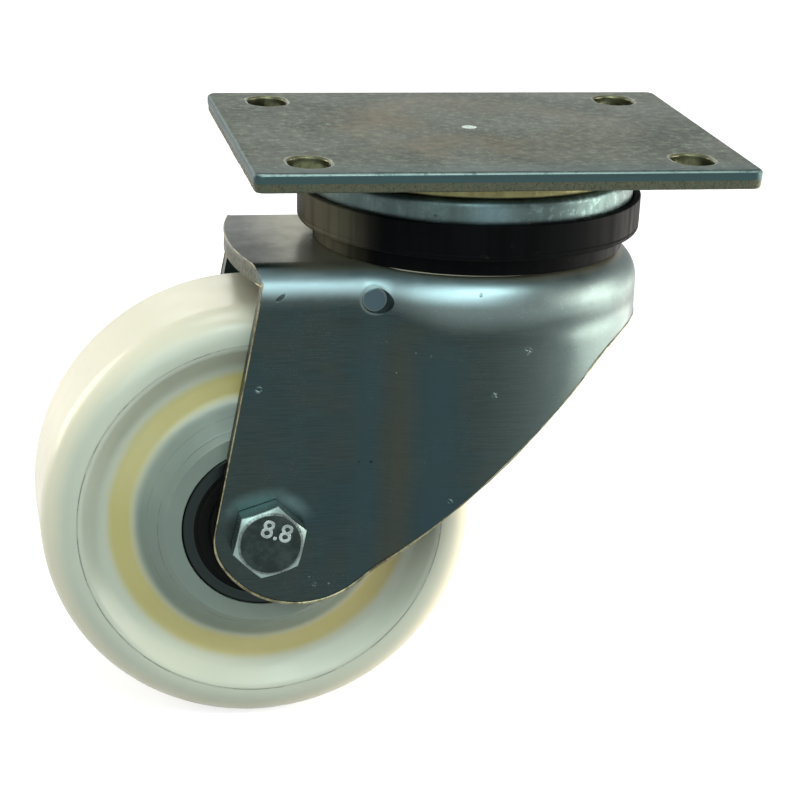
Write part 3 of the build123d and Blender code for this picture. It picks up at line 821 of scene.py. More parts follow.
def fork_finish(name, settings):
    """Pressed fork: dark bluish zinc with soft painted reflection streaks, painted highlights on the roll and
    front, and dust with painted reflection on the crown.
    """
    finish = Finish(name, Metallic=1.0, Specular_Tint=SOFT_TINT)
    x, _, z = finish.spot()
    clouds = finish.noise(16.0, detail=5.0, rough=0.6)
    grain = finish.noise(1.0, detail=4.0, rough=0.6, vector=finish.moved(stretch=LEG_GRAIN))
    dull = finish.noise(120.0, detail=6.0, rough=0.7)
    colour = finish.mixed(finish.ranged(clouds, 0.40, 0.64), settings.zinc, settings.blue)
    colour = finish.mixed(finish.ranged(grain, 0.35, 0.65, 0.0, 0.45), colour, shaded(settings.zinc, 0.72))
    colour = finish.mixed(finish.ranged(dull, 0.42, 0.70, 0.0, 0.25), colour, settings.brown)
    # Painted reflection: soft upright streaks at the leg's bend, fading out towards the roll
    below = finish.ranged(z, *ZONES["painted_reflection_stripes"])
    for middle, half, strength, cast in settings.painted_reflection_stripes():
        reflection_stripe = finish.ranged(finish.gap(x, middle), 0.0, half, strength, 0.0)
        colour = finish.mixed(finish.times(reflection_stripe, below), colour, cast)
    # Painted highlight: the bright band down the roll, narrower on the left
    shrunk = finish.maths("ADD", z, finish.ranged(x, *ZONES["narrow roll"], -0.0058, 0.0))
    drawn = finish.ranged(finish.pushed(shrunk, clouds, 0.005), *ZONES["drawn"])
    drawn = finish.times(drawn, finish.ranged(z, *ZONES["drawn top"]))
    colour = roll_highlights_and_crown(finish, colour, settings, clouds, dull, drawn)
    colour = pressed_zinc(finish, colour, settings, dull)
    colour = leg_marks(finish, colour, settings)
    leg_relief(finish, grain)
    rough = finish.maths("ADD", finish.ranged(dull, 0.3, 0.7, 0.27, 0.37), finish.times(drawn, 0.12))
    # Dust, and a stand-in for reflected light: the crown top is made less metallic, so the lamps light it
    # plainly
    dust_and_reflection = finish.ranged(finish.pushed(z, dull, 0.001), *ZONES["dull crown"], 1.0, 0.7)
    finish.tree.links.new(dust_and_reflection, finish.shader.inputs["Metallic"])
    return finish.done(colour, rough)


def roll_highlights_and_crown(finish, colour, settings, clouds, dull, drawn):
    """The fork's colour with painted highlights on its roll, its front and the roll's brightest crest, a
    darker crown top, and dust with painted reflection on the crown's rear.
    """
    x, _, z = finish.spot()
    # Painted highlight: the front of the fork, brighter towards +X where it turns to the light, with painted
    # glints
    front = finish.ranged(finish.pushed(x, clouds, 0.012), *ZONES["front"], 0.0, 0.72)
    sparkle = finish.ranged(finish.noise(1500.0, detail=4.0, rough=0.7), 0.55, 0.75, 0.0, 0.5)
    burnished = finish.mixed(sparkle, settings.burnished, shaded(settings.burnished, 1.35))
    colour = finish.mixed(finish.times(finish.maths("MAXIMUM", front, drawn), 0.85), colour, burnished)
    # Painted highlight: the brightest band along the roll, below the crown's edge
    ridge_highlight = finish.times(
        finish.ranged(finish.pushed(z, dull, 0.0012), *ZONES["ridge_highlight"]),
        finish.ranged(z, *ZONES["ridge top"]),
        finish.ranged(x, *ZONES["ridge end"]),
        0.85,
    )
    colour = finish.mixed(ridge_highlight, colour, settings.ridge_highlight)
    colour = finish.mixed(finish.ranged(z, *ZONES["crown"], 0.0, 0.8), colour, shaded(settings.zinc, 0.6))
    # Dust and painted reflection: the crown's rear beside the seal is painted pale
    dust_and_reflection = finish.ranged(finish.pushed(z, dull, 0.0006), *ZONES["dusty crown"])
    dust_and_reflection = finish.times(dust_and_reflection, finish.ranged(x, *ZONES["dusty part"], 0.0, 0.9))
    return finish.mixed(dust_and_reflection, colour, settings.crown)


def pressed_zinc(finish, colour, settings, dull):
    """The fork's colour with the press mark on its right side, a painted highlight round the mark, and a
    painted reflection of the bolt head over the bolt.
    """
    _, y, z = finish.spot()
    right_side = finish.ranged(y, 0.0, -0.001)
    disc = finish.from_axis(PRESS_MARK, 1)
    # Painted highlight: a pale ring over the mark's wall, lifting the dark crescent beside it
    ring = finish.times(finish.ranged(disc, *ZONES["painted disc ring"], 0.0, 0.8), right_side)
    colour = finish.mixed(ring, colour, shaded(settings.burnished, 0.9))
    flat = finish.times(finish.ranged(disc, *ZONES["disc"]), right_side)
    colour = finish.mixed(flat, colour, settings.disc)
    # Painted reflection: the bolt head's lit top, mirrored in the leg just above it
    away = finish.wavered(finish.from_axis(AXLE, 1), dull, 0.004)
    above = finish.times(finish.ranged(z, *ZONES["over the bolt"]), right_side)
    bolt_reflection = finish.times(finish.ranged(away, *ZONES["bolt_reflection"], 0.85, 0.0), above)
    return finish.mixed(bolt_reflection, colour, settings.bolt_reflection)


def leg_marks(finish, colour, settings):
    """Pits, handling nicks, and the bare steel of the sheared faces, which face back or down."""
    zinc = settings.zinc
    colour = finish.mixed(finish.dots(150.0, (0.07, 0.12), 70.0, (0.60, 0.66)), colour, shaded(zinc, 0.4))
    colour = finish.mixed(finish.scratches((0.3, 0.2, 0.5), 160.0, 0.5), colour, shaded(zinc, 2.0))
    level_strokes = finish.moved(turn=(0.0, 0.5, 0.0), stretch=STROKES)
    strokes = finish.ranged(finish.noise(1.0, detail=3.0, rough=0.7, vector=level_strokes), 0.53, 0.58)
    for place, reach in NICKS:
        near = finish.ranged(finish.length(finish.moved(place)), reach * 0.4, reach, 0.7, 0.0)
        colour = finish.mixed(finish.times(near, strokes), colour, shaded(settings.burnished, 1.7))
    cut = finish.length(finish.moved(CUT, CUT_TURN, CUT_REACH))
    finish.bump(finish.ranged(cut, 0.55, 1.05, -1.0, 0.0), 0.00025, 1.0)
    colour = finish.mixed(finish.ranged(cut, 0.6, 1.0, 0.7, 0.0), colour, shaded(zinc, 0.5))
    specks = finish.dots(330.0, (0.07, 0.13), 38.0, (0.54, 0.64), 0.7)
    colour = finish.mixed(specks, colour, shaded(zinc, 2.4))
    facing_x, facing_y, facing_z = finish.spot(finish.add("ShaderNodeTexCoord", {}).outputs["Normal"])
    sideways = finish.ranged(finish.maths("ABSOLUTE", facing_y), 0.25, 0.45, 1.0, 0.0)
    rear = finish.ranged(facing_x, -0.55, -0.80)
    under = finish.ranged(facing_z, -0.20, -0.35)
    sheared = finish.times(sideways, finish.maths("MAXIMUM", rear, under))
    tears = finish.noise(1.0, detail=5.0, rough=0.7, vector=finish.moved(stretch=LEG_TEARS))
    bare = finish.mixed(finish.ranged(tears, 0.38, 0.62), settings.bare, shaded(settings.bare, 0.4))
    return finish.mixed(sheared, colour, bare)


def leg_relief(finish, grain):
    """The soft valley under the roll, the dent beside the press mark, and the drawn grain.

    The valley's depth is e to the power of minus the square of the height above its line over its width.
    """
    x, _, z = finish.spot()
    valley = finish.hump(finish.maths("DIVIDE", finish.maths("SUBTRACT", z, VALLEY_Z), VALLEY_WIDTH))
    valley = finish.times(valley, finish.ranged(x, *ZONES["valley"], 0.25, 1.0))
    finish.bump(finish.times(valley, -1.0), VALLEY_DEPTH)
    dent = finish.hump(finish.length(finish.moved(DENT, stretch=DENT_REACH)))
    finish.bump(finish.times(dent, -1.0), VALLEY_DEPTH)
    finish.bump(grain, 0.000012, 0.5)
    finish.bump(finish.noise(800.0, detail=3.0), 0.00002, 0.35)


def burr_finish(name, settings):
    """Burr: bright as fresh steel and as a painted edge highlight, and darker where it is plated over."""
    finish = Finish(name, Metallic=1.0)
    fresh = finish.noise(170.0, detail=5.0, rough=0.75)
    grit = finish.noise(1500.0, detail=3.0)
    # Fresh steel and painted edge highlight: the bead is painted bright
    bright = settings.burr_and_edge_highlight
    tone = finish.mixed(finish.ranged(fresh, 0.36, 0.60), shaded(bright, 0.62), bright)
    finish.bump(grit, 0.00003, 0.5)
    return finish.done(tone, finish.ranged(grit, 0.3, 0.7, 0.24, 0.42))


def plain_metal(name, colour, rough, scale=180.0):
    """Small hardware: clouded metal with fine grit."""
    finish = Finish(name, Metallic=1.0)
    clouds = finish.noise(scale, detail=5.0, rough=0.65)
    tone = finish.mixed(finish.ranged(clouds, 0.35, 0.65), colour, shaded(colour, 0.78))
    finish.bump(finish.noise(scale * 6, detail=2.0), 0.00002, 0.4)
    return finish.done(tone, finish.ranged(clouds, 0.3, 0.7, rough - 0.06, rough + 0.1))


def bolt_finish(name, settings):
    """Bolt zinc: a dark clouded face, chamfers painted bright as wear and painted highlight, and sides
    painted brighter still as lit, further from the axle.
    """
    finish = Finish(name, Metallic=1.0)
    clouds = finish.noise(240.0, detail=5.0, rough=0.65)
    grit = finish.noise(1300.0, detail=3.0)
    away = finish.wavered(finish.from_axis(AXLE, 1), clouds, 0.0006)
    # Wear and painted highlight on the chamfers, and painted light on the sides
    wear_and_highlight = finish.ranged(away, settings.flats * 0.445, settings.flats * 0.465)
    sides = finish.ranged(away, settings.flats * 0.485, settings.flats * 0.495)
    tone = finish.mixed(finish.ranged(clouds, 0.35, 0.65), settings.zinc, shaded(settings.zinc, 0.75))
    bright = finish.mixed(finish.ranged(grit, 0.4, 0.7), settings.bright, shaded(settings.bright, 0.7))
    tone = finish.mixed(sides, finish.mixed(wear_and_highlight, tone, bright), settings.painted_lit_flank)
    finish.bump(grit, 0.00003, 0.4)
    return finish.done(tone, finish.ranged(clouds, 0.3, 0.7, 0.22, 0.36))


def ground_steel(name, colour):
    """Ground bearing ring: fine turning marks round the axle."""
    finish = Finish(name, Metallic=1.0)
    away = finish.times(finish.from_axis(AXLE, 1), 9000.0)
    turning = finish.add("ShaderNodeCombineXYZ", {0: away}).outputs[0]
    rings = finish.noise(1.0, detail=3.0, vector=turning)
    tone = finish.mixed(finish.ranged(rings, 0.35, 0.65), colour, shaded(colour, 0.7))
    finish.bump(rings, 0.000006, 0.5)
    return finish.done(tone, finish.ranged(rings, 0.3, 0.7, 0.26, 0.42))


def rubber_finish(name, colour):
    """Bearing rubber: dull black with a fine skin."""
    finish = Finish(name, Specular_IOR_Level=0.06)
    skin = finish.noise(900.0, detail=4.0)
    tone = finish.mixed(finish.ranged(skin, 0.35, 0.65), colour, shaded(colour, 1.6))
    finish.bump(skin, 0.00003, 0.4)
    return finish.done(tone, finish.ranged(skin, 0.3, 0.7, 0.5, 0.68))


def insert_finish(name):
    """Nylon ring of the lock nut: milky blue-grey."""
    finish = Finish(name, Subsurface_Weight=0.3, Subsurface_Scale=0.001)
    clouds = finish.noise(300.0)
    tone = finish.mixed(finish.ranged(clouds, 0.4, 0.6), (0.42, 0.50, 0.60), (0.50, 0.58, 0.66))
    finish.bump(clouds, 0.00002, 0.4)
    return finish.done(tone, finish.ranged(clouds, 0.3, 0.7, 0.4, 0.55))


def dress(finish, *nodes):
    """Gives carried-over solids their finish."""
    for node in nodes:
        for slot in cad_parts[node].material_slots:
            slot.material = finish


# Operators


class CASTER_OT_plate(bpy.types.Operator):
    """Make the sheared top plate with its four punched slots"""

    bl_idname = "caster.plate"
    bl_label = "Top Plate"

    def execute(self, context):
        settings = context.scene.caster_plate
        top, bottom = plate_high.z, plate_low.z
        signs = np.array([(-1, -1), (1, -1), (1, 1), (-1, 1)])
        half = np.array([plate_high.x - plate_low.x, plate_high.y - plate_low.y]) / 2
        outline = resampled(rounded(signs * half, [settings.corner] * 4, 12), MESH_STEP)
        slot_half = np.array([settings.slot_width, settings.slot_length]) / 2
        slot = resampled(rounded(signs * slot_half, [slot_half[0] - 1e-6] * 4, 16), SLOT_STEP)
        centres = signs * (half - [settings.slot_edge_x, settings.slot_edge_y])
        rim = self.edge_profile(settings, top, bottom, settings.roll)
        hole = self.edge_profile(settings, top, bottom, settings.roll * SLOT_ROLL)
        edges = [self.edge(outline, outward_of(outline), rim, settings, 11, bottom)]
        for number, centre in enumerate(centres):
            path = slot + centre
            edges.append(self.edge(path, -outward_of(path), hole, settings, 20 + number, bottom))
        mark = self.centre_mark(settings, top)
        split = []
        for place, (points, quads) in enumerate(edges):
            heights = points.reshape(-1, 3)[quads, 2].mean(axis=1)
            low = heights < bottom + settings.fracture
            split.append((points, quads[~low], 0 if place == 0 else 2))
            split.append((points, quads[low], 1 if place == 0 else 2))
        split.append((mark, grid_quads(*mark.shape[:2], wrap_columns=True), 3))
        split.append(self.face([points[0] for points, _ in edges] + [mark[-1]]))
        split.append(self.face([points[-1] for points, _ in edges]))
        finishes = [
            plate_finish("plate_zinc", settings),
            torn_finish("plate_torn_edge", settings),
            plain_metal("plate_slot_zinc", settings.slot_zinc, 0.34, 300.0),
            # The centre mark is painted pale: fresh metal and a painted glint
            plain_metal("plate_punch_mark", settings.punched, 0.42, 900.0),
        ]
        make_piece("plate", split, "plate", finishes, ("top_plate",))
        return {"FINISHED"}

    def edge_profile(self, settings, top, bottom, roll):
        """Inset and height down a sheared edge: a quarter ellipse, a burnished band, then the torn band."""
        angle = np.linspace(0, pi / 2, 8)
        rolled = np.stack([roll * 1.3 * (1 - np.sin(angle)), top - roll * (1 - np.cos(angle))], axis=-1)
        torn_top = bottom + settings.fracture
        torn = np.linspace(torn_top, bottom + 0.0003, 7)
        side = np.stack([settings.taper * ((torn_top - torn) / settings.fracture) ** 1.5, torn], axis=-1)
        return np.concatenate([rolled, side, [(settings.foot, bottom)]])

    def edge(self, path, outward, profile, settings, seed, bottom):
        """The profile carried round a path, its torn band pushed in by smooth noise."""
        inset = np.repeat(profile[:, :1], len(path), axis=1)
        height = np.repeat(profile[:, 1:], len(path), axis=1)
        along = np.cumsum(np.linalg.norm(np.roll(path, -1, axis=0) - path, axis=1))[None] + height * 0
        coarse = value_noise(along / TEAR_COARSE[0], height / TEAR_COARSE[1] + 9, seed)
        fine = value_noise(along / TEAR_FINE[0], height / TEAR_FINE[1] + 5, seed + 1)
        rough = (0.6 * coarse + 0.4 * fine + 1) / 2
        torn = np.clip((bottom + settings.fracture + 0.0002 - height) / 0.0006, 0, 1)
        inset = inset + rough * torn * settings.roughness * 2
        surface = carried(path, outward, inset, height)
        return surface, grid_quads(*surface.shape[:2], wrap_columns=True)

    def centre_mark(self, settings, top):
        """Punch mark: its depth falls as a cosine from the middle, and its lip is a low uneven ring."""
        share = np.linspace(0, 1, 14)[:, None]
        angle = round_turn(48)[None]
        radius = share * settings.mark_radius * 1.45
        inner = np.clip(radius / settings.mark_radius, 0, 1)
        depth = settings.mark_depth * (0.5 + 0.5 * np.cos(pi * inner))
        ripple = value_noise(angle * 3, share * 6 + angle * 0, 5)
        depth = np.clip(depth + settings.mark_ripple * (1 - share) * ripple, 0, None)
        across, along = radius * np.cos(angle), settings.mark_offset + radius * np.sin(angle)
        points = np.stack([across, along, top - depth], axis=-1)
        points[-1, :, 2] = top
        return points

    def face(self, loops):
        """A flat face between the outer loop and the holes, as a constrained triangulation."""
        edges, base = [], 0
        for loop in loops:
            order = np.arange(len(loop))
            edges.append(np.stack([order, np.roll(order, -1)], axis=-1) + base)
            base += len(loop)
        flat = np.concatenate(loops)[:, :2]
        found = delaunay_2d_cdt([Vector(p) for p in flat], np.concatenate(edges).tolist(), [], 1, 1e-9)
        spots = np.array([tuple(p) for p in found[0]])
        faces = np.array([f for f in found[2] if len(f) == 3])
        middle = spots[faces].mean(axis=1)
        inside = np.ones(len(faces), bool)
        for loop in loops[1:]:
            inside &= ~self.within(middle, loop[:, :2])
        level = loops[0][0, 2]
        return np.column_stack([spots, np.full(len(spots), level)]), faces[inside], 0

    def within(self, spots, loop):
        """Which spots lie inside a loop: those whose level line crosses its sides an odd number of times."""
        start, end = loop[None], np.roll(loop, -1, axis=0)[None]
        x, y = spots[:, :1], spots[:, 1:]
        crosses = (start[..., 1] > y) != (end[..., 1] > y)
        rise = np.where(end[..., 1] == start[..., 1], 1e-12, end[..., 1] - start[..., 1])
        at = start[..., 0] + (y - start[..., 1]) * (end[..., 0] - start[..., 0]) / rise
        return (np.sum(crosses & (x < at), axis=1) % 2) == 1


class CASTER_OT_swivel_head(bpy.types.Operator):
    """Finish the race, the weld-tinted ring and the hidden parts of the swivel head"""

    bl_idname = "caster.swivel_head"
    bl_label = "Swivel Head"

    def execute(self, context):
        settings = context.scene.caster_plate
        # The race gets a painted reflection band; the head ring gets none
        dress(race_finish("race_zinc", settings.race, 0.34, 0.22), "upper_race")
        dress(race_finish("ring_tint", settings.tint, 0.42, 0.0), "head_ring")
        turned_steel = plain_metal("turned_steel", (0.36, 0.38, 0.37), 0.35)
        dress(turned_steel, "kingpin", "lower_race", "kingpin_washer", "kingpin_nut")
        polished = plain_metal("polished_balls", (0.62, 0.63, 0.62), 0.14, 60.0)
        dress(polished, "upper_balls", "lower_balls", "bearing_balls_left", "bearing_balls_right")
        caged = plain_metal("cage_steel", (0.42, 0.42, 0.38), 0.4)
        dress(caged, "upper_cage", "lower_cage", "bearing_cage_left", "bearing_cage_right")
        return {"FINISHED"}


class CASTER_OT_seal(bpy.types.Operator):
    """Make the black seal ring with its lip, web and foot"""

    bl_idname = "caster.seal"
    bl_label = "Seal Ring"

    def execute(self, context):
        settings = context.scene.caster_seal
        low, high, outer = seal_low.z, seal_high.z, seal_high.x
        bore, foot = settings.bore, settings.bore + settings.foot
        under = low + settings.foot_height
        over = under + settings.web
        corners = [
            (bore, low),
            (foot, low),
            (foot + FOOT_TAPER, under),
            (outer - LIP_TAPER, under),
            (outer, high),
            (outer - settings.lip, high),
            (outer - settings.lip, over),
            (bore, over),
        ]
        radii = [0.0002, 0.0004, 0.0008, 0.0014, 0.0004, 0.0004, 0.0006, 0.0002]
        profile = resampled(rounded(corners, radii, 8), SEAL_STEP)
        surface = turned(profile, SWIVEL_AXIS, SEAL_COUNT)
        radius, height = profile[:, :1], profile[:, 1:]
        outside = np.clip((radius - (outer - 0.0006)) / 0.0003, 0, 1)
        line = np.exp(-(((height - (under + GROOVE_RISE)) / GROOVE_WIDTH) ** 2)) * settings.groove
        angle = round_turn(SEAL_COUNT)[None] + height * 0
        wave = settings.wave * (1 + value_noise(angle * 6, height / WAVE_HEIGHT, 31))
        shrink = outside * (line + wave)
        surface[..., :2] *= (1 - shrink / np.maximum(radius, 1e-6))[..., None]
        quads = grid_quads(*surface.shape[:2], wrap_rows=True, wrap_columns=True)
        finish = seal_finish("seal_black", settings.rubber)
        make_piece("seal", [(surface, quads, 0)], "fork", [finish], ("seal_ring",))
        return {"FINISHED"}


class CASTER_OT_fork(bpy.types.Operator):
    """Finish the pressed fork and add the burrs of its sheared edges, painted bright as fresh steel and edge
    highlight
    """

    bl_idname = "caster.fork"
    bl_label = "Fork"

    def execute(self, context):
        settings = context.scene.caster_fork
        dress(fork_finish("fork_zinc", settings), "fork")
        self.burr(settings)
        return {"FINISHED"}

    def burr(self, settings):
        """A bead along the sheared edges, painted bright, as thick as the burr's radius times smooth noise.
        """
        draft = linked("fork_burr_draft", self.sheared_lines())
        for other in bpy.context.selected_objects:
            other.select_set(False)
        bpy.context.view_layer.objects.active = draft
        draft.select_set(True)
        bpy.ops.object.convert(target="CURVE")
        curve = draft.data
        curve.bevel_depth = settings.burr
        curve.bevel_resolution = 1
        curve.use_fill_caps = True
        for spline in curve.splines:
            line = np.empty(len(spline.points) * 4)
            spline.points.foreach_get("co", line)
            x, _, z, _ = line.reshape(-1, 4).T
            coarse = value_noise(x / BURR_COARSE, z / BURR_COARSE, 41)
            fine = value_noise(x / BURR_FINE, z / BURR_FINE, 42)
            bumps = 0.6 * coarse + 0.4 * fine
            boss = np.clip((AXLE.z + BOSS_RISE - z) / BOSS_FADE, 0, 1)
            spline.points.foreach_set("radius", (0.95 + 0.75 * bumps * (1 - 0.8 * boss)) * (1 + 1.1 * boss))
        bead = as_mesh("fork_burr", draft)
        bead.materials.append(burr_finish("fork_burr_and_highlight", settings))
        bead.shade_smooth()
        piece = linked("fork_burr", bead)
        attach(piece, "fork")

    def sheared_lines(self):
        """The fork's sheared edges alone, as a mesh without faces."""
        edges = bmesh.new()
        edges.from_mesh(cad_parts["fork"].data)
        bmesh.ops.remove_doubles(edges, verts=edges.verts, dist=1e-6)
        dropped = [edge for edge in edges.edges if not self.is_sheared(edge)]
        bmesh.ops.delete(edges, geom=edges.faces[:], context="FACES_ONLY")
        bmesh.ops.delete(edges, geom=dropped, context="EDGES")
        bmesh.ops.delete(edges, geom=[v for v in edges.verts if not v.link_edges], context="VERTS")
        mesh = bpy.data.meshes.new("fork_burr_line")
        edges.to_mesh(mesh)
        edges.free()
        return mesh

    def is_sheared(self, edge):
        """Whether an edge joins a sheared face, which looks back or down, to the sheet's outside or top."""
        if len(edge.link_faces) != 2 or edge.calc_face_angle() < SHEARED_ANGLE:
            return False
        middle = (edge.verts[0].co + edge.verts[1].co) / 2
        normals = [face.normal for face in edge.link_faces]
        cut = [abs(n.y) < 0.3 and (n.x < -0.6 or n.z < -0.25) for n in normals]
        if cut[0] == cut[1]:
            return False
        skin = normals[1 if cut[0] else 0]
        outward = skin.y * middle.y > 0 or (skin.x > 0.3 and middle.x > 0)
        return outward or (skin.z > 0.9 and abs(middle.z - CROWN_Z) < 0.0005)


class CASTER_OT_wheel(bpy.types.Operator):
    """Make the moulded nylon wheel"""

    bl_idname = "caster.wheel"
    bl_label = "Wheel"

    def execute(self, context):
        settings = context.scene.caster_wheel
        half_hub = (wheel_high.y - wheel_low.y) / 2
        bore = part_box("bearing_outer_ring_right")[1].x - AXLE.x + 0.00002
        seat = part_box("bearing_outer_ring_left")[0].y
        ledge = bore - settings.ledge
        hub = settings.hub_radius
        rim = WHEEL_RADIUS - settings.rim_wall
        right = [
            (bore, half_hub),
            (hub - settings.hub_step, half_hub),
            (hub, half_hub - settings.hub_step),
            (hub + settings.hub_slope, settings.web_inner / 2),
            (rim - settings.rim_slope, settings.web_outer / 2),
            (rim, settings.width / 2),
            (WHEEL_RADIUS, settings.width / 2),
        ]
        blends = [settings.web_blend, settings.web_blend, settings.rim_blend, settings.shoulder]
        radii = [0.0003] * 3 + blends
        left = [(r, -y) for r, y in right[::-1]]
        corners = [(ledge, -seat), (ledge, seat), (bore, seat)] + right + left + [(bore, -seat)]
        profile = resampled(rounded(corners, [0, 0, 0] + radii + radii[::-1] + [0], 14), MESH_STEP)
        for line in TURNED_LINES:
            profile = self.with_line(profile, line)
        radius, along = profile.T
        side = np.sign(along) * (np.abs(along) > LINES_FROM)
        for line in TURNED_LINES:
            along = along - side * settings.line_depth * np.exp(-(((radius - line) / LINE_WIDTH) ** 2))
        profile = np.stack([radius, along], axis=-1)
        finish = nylon_finish("nylon_cream", settings)
        count = WHEEL_COUNT
        turned_piece("wheel_moulding", profile, AXLE_AXIS, count, "wheel", finish, ("wheel",))
        return {"FINISHED"}

    def with_line(self, profile, radius):
        """The profile with close points added where it crosses a radius on either side."""
        ends = np.roll(profile, -1, axis=0)
        crossing = (profile[:, 0] - radius) * (ends[:, 0] - radius) < 0
        share = np.linspace(0, 1, 9)[1:-1, None]
        pieces = []
        for start, end, cut in zip(profile, ends, crossing):
            pieces.append(start[None])
            if cut:
                pieces.append(start * (1 - share) + end * share)
        return np.concatenate(pieces)


class CASTER_OT_bearings(bpy.types.Operator):
    """Make the ribbed rubber seals and finish the rings of the wheel bearings"""

    bl_idname = "caster.bearings"
    bl_label = "Wheel Bearings"

    def execute(self, context):
        settings = context.scene.caster_axle
        steel = ground_steel("bearing_steel", settings.steel)
        rubber = rubber_finish("bearing_rubber", settings.rubber)
        for side in ("left", "right"):
            dress(steel, f"bearing_outer_ring_{side}", f"bearing_inner_ring_{side}", f"shim_washer_{side}")
            for place in ("inner", "outer"):
                self.seal(f"bearing_seal_{side}_{place}", f"bearing_inner_ring_{side}", rubber)
        return {"FINISHED"}

    def seal(self, node, ring, rubber):
        """A thin ring whose face has a raised lip and two shallow ribs, as cosine humps over its radius."""
        low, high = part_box(node)
        outer = (high.x - low.x) / 2
        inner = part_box(ring)[1].x - AXLE.x + SEAL_PLAY
        radius = np.linspace(inner, outer, 60)
        share = (radius - inner) / (outer - inner)
        dish = LIP_DEPTH * (0.5 - 0.5 * np.cos(2 * pi * np.clip(share * 3, 0, 1)))
        dish = dish + RIB_DEPTH * (0.5 - 0.5 * np.cos(2 * pi * np.clip(share * 5 - 3.4, 0, 1)))
        face = np.stack([radius, high.y - dish - AXLE.y], axis=-1)
        back = np.stack([radius, low.y + dish - AXLE.y], axis=-1)[::-1]
        profile = np.concatenate([face, back])
        name, count = f"{node}_ring", BEARING_COUNT
        turned_piece(name, profile, AXLE_AXIS, count, "wheel", rubber, (node,), radians(50))


class CASTER_OT_axle(bpy.types.Operator):
    """Make the hexagon axle bolt with its thread and finish the nut and washer"""

    bl_idname = "caster.axle"
    bl_label = "Axle Bolt"

    def execute(self, context):
        settings = context.scene.caster_axle
        zinc = plain_metal("fastener_zinc", settings.zinc, 0.30)
        dress(zinc, "axle_nut", "axle_washer", "bearing_spacer", "axle_tube")
        dress(insert_finish("insert_nylon"), "nut_insert")
        self.bolt(settings)
        self.figures(settings)
        return {"FINISHED"}

    def bolt(self, settings):
        """The bolt as one grid about the axle.

        The head's radius is half the flats over the cosine of the angle from a flat's middle. A cone
        trims its corners, and the thread's depth is a cosine of the turn plus the length over the pitch.
        """
        angle = round_turn(BOLT_COUNT)
        even = np.ones(len(angle))
        off_flat = np.mod(angle - pi / 6 + settings.head_turn, pi / 3)
        hexagon = settings.flats / 2 / np.cos(np.minimum(off_flat, pi / 3 - off_flat))
        face = settings.flats / 2 * FACE_SHARE
        outer, under, end = bolt_low.y, bolt_low.y + settings.head, bolt_high.y
        cone = outer + (hexagon - face) * tan(settings.chamfer)
        flat = np.linspace(0, face - 0.0002, 5)[:, None] * even
        dish = outer + 0.0001 * (1 - flat / face)
        head = np.stack([face * even, hexagon - 0.0002, hexagon, hexagon, hexagon - 0.0004])
        ends = [(under - 0.0004) * even, under * even]
        heights = np.stack([outer + 0.00008 * even, cone, cone + 0.0003] + ends)
        shank = np.linspace(under, end - settings.point, SHANK_ROWS)[:, None] * even
        from_start = shank - (end - settings.threaded)
        turn = 2 * pi * from_start / settings.pitch
        depth = settings.thread * (0.5 - 0.5 * np.cos(turn - angle)) * np.clip(from_start / 0.002, 0, 1)
        tip = np.stack([(settings.shank - settings.point) * even, 0.0 * even])
        radius = np.concatenate([flat, head, settings.shank - depth, tip])
        along = np.concatenate([dish, heights, shank, end + 0.0 * tip])
        surface = np.stack([AXLE.x + radius * np.cos(angle), along, AXLE.z - radius * np.sin(angle)], axis=-1)
        quads = grid_quads(*radius.shape, wrap_columns=True)
        finish = bolt_finish("bolt_zinc", settings)
        surfaces = [(surface, quads, 0)]
        make_piece("hexagon_bolt", surfaces, "fork", [finish], ("axle_bolt",), radians(20))

    def figures(self, settings):
        """Raised property class on the bolt head, as text made into a mesh before it is placed."""
        curve = bpy.data.curves.new("property_class", "FONT")
        curve.body = "8.8"
        curve.size = settings.figure / FIGURE_SHARE
        curve.extrude = settings.raised / 2
        curve.bevel_depth = FIGURE_EDGE
        curve.bevel_resolution = 2
        curve.align_x = "CENTER"
        curve.align_y = "CENTER"
        mesh = as_mesh("property_class", linked("property_class_text", curve))
        face = bolt_low.y + FIGURE_SUNK - settings.raised / 2
        place = Matrix.Translation((AXLE.x + settings.figure_x, face, AXLE.z + settings.figure_z))
        upright = Matrix.Rotation(radians(90), 4, "X")
        mesh.transform(place @ Matrix.Rotation(settings.figure_turn, 4, "Y") @ upright)
        # The raised figures are painted pale: a painted highlight
        mesh.materials.append(plain_metal("figure_zinc", settings.figures, 0.26))
        piece = linked("property_class", mesh)
        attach(piece, "fork")


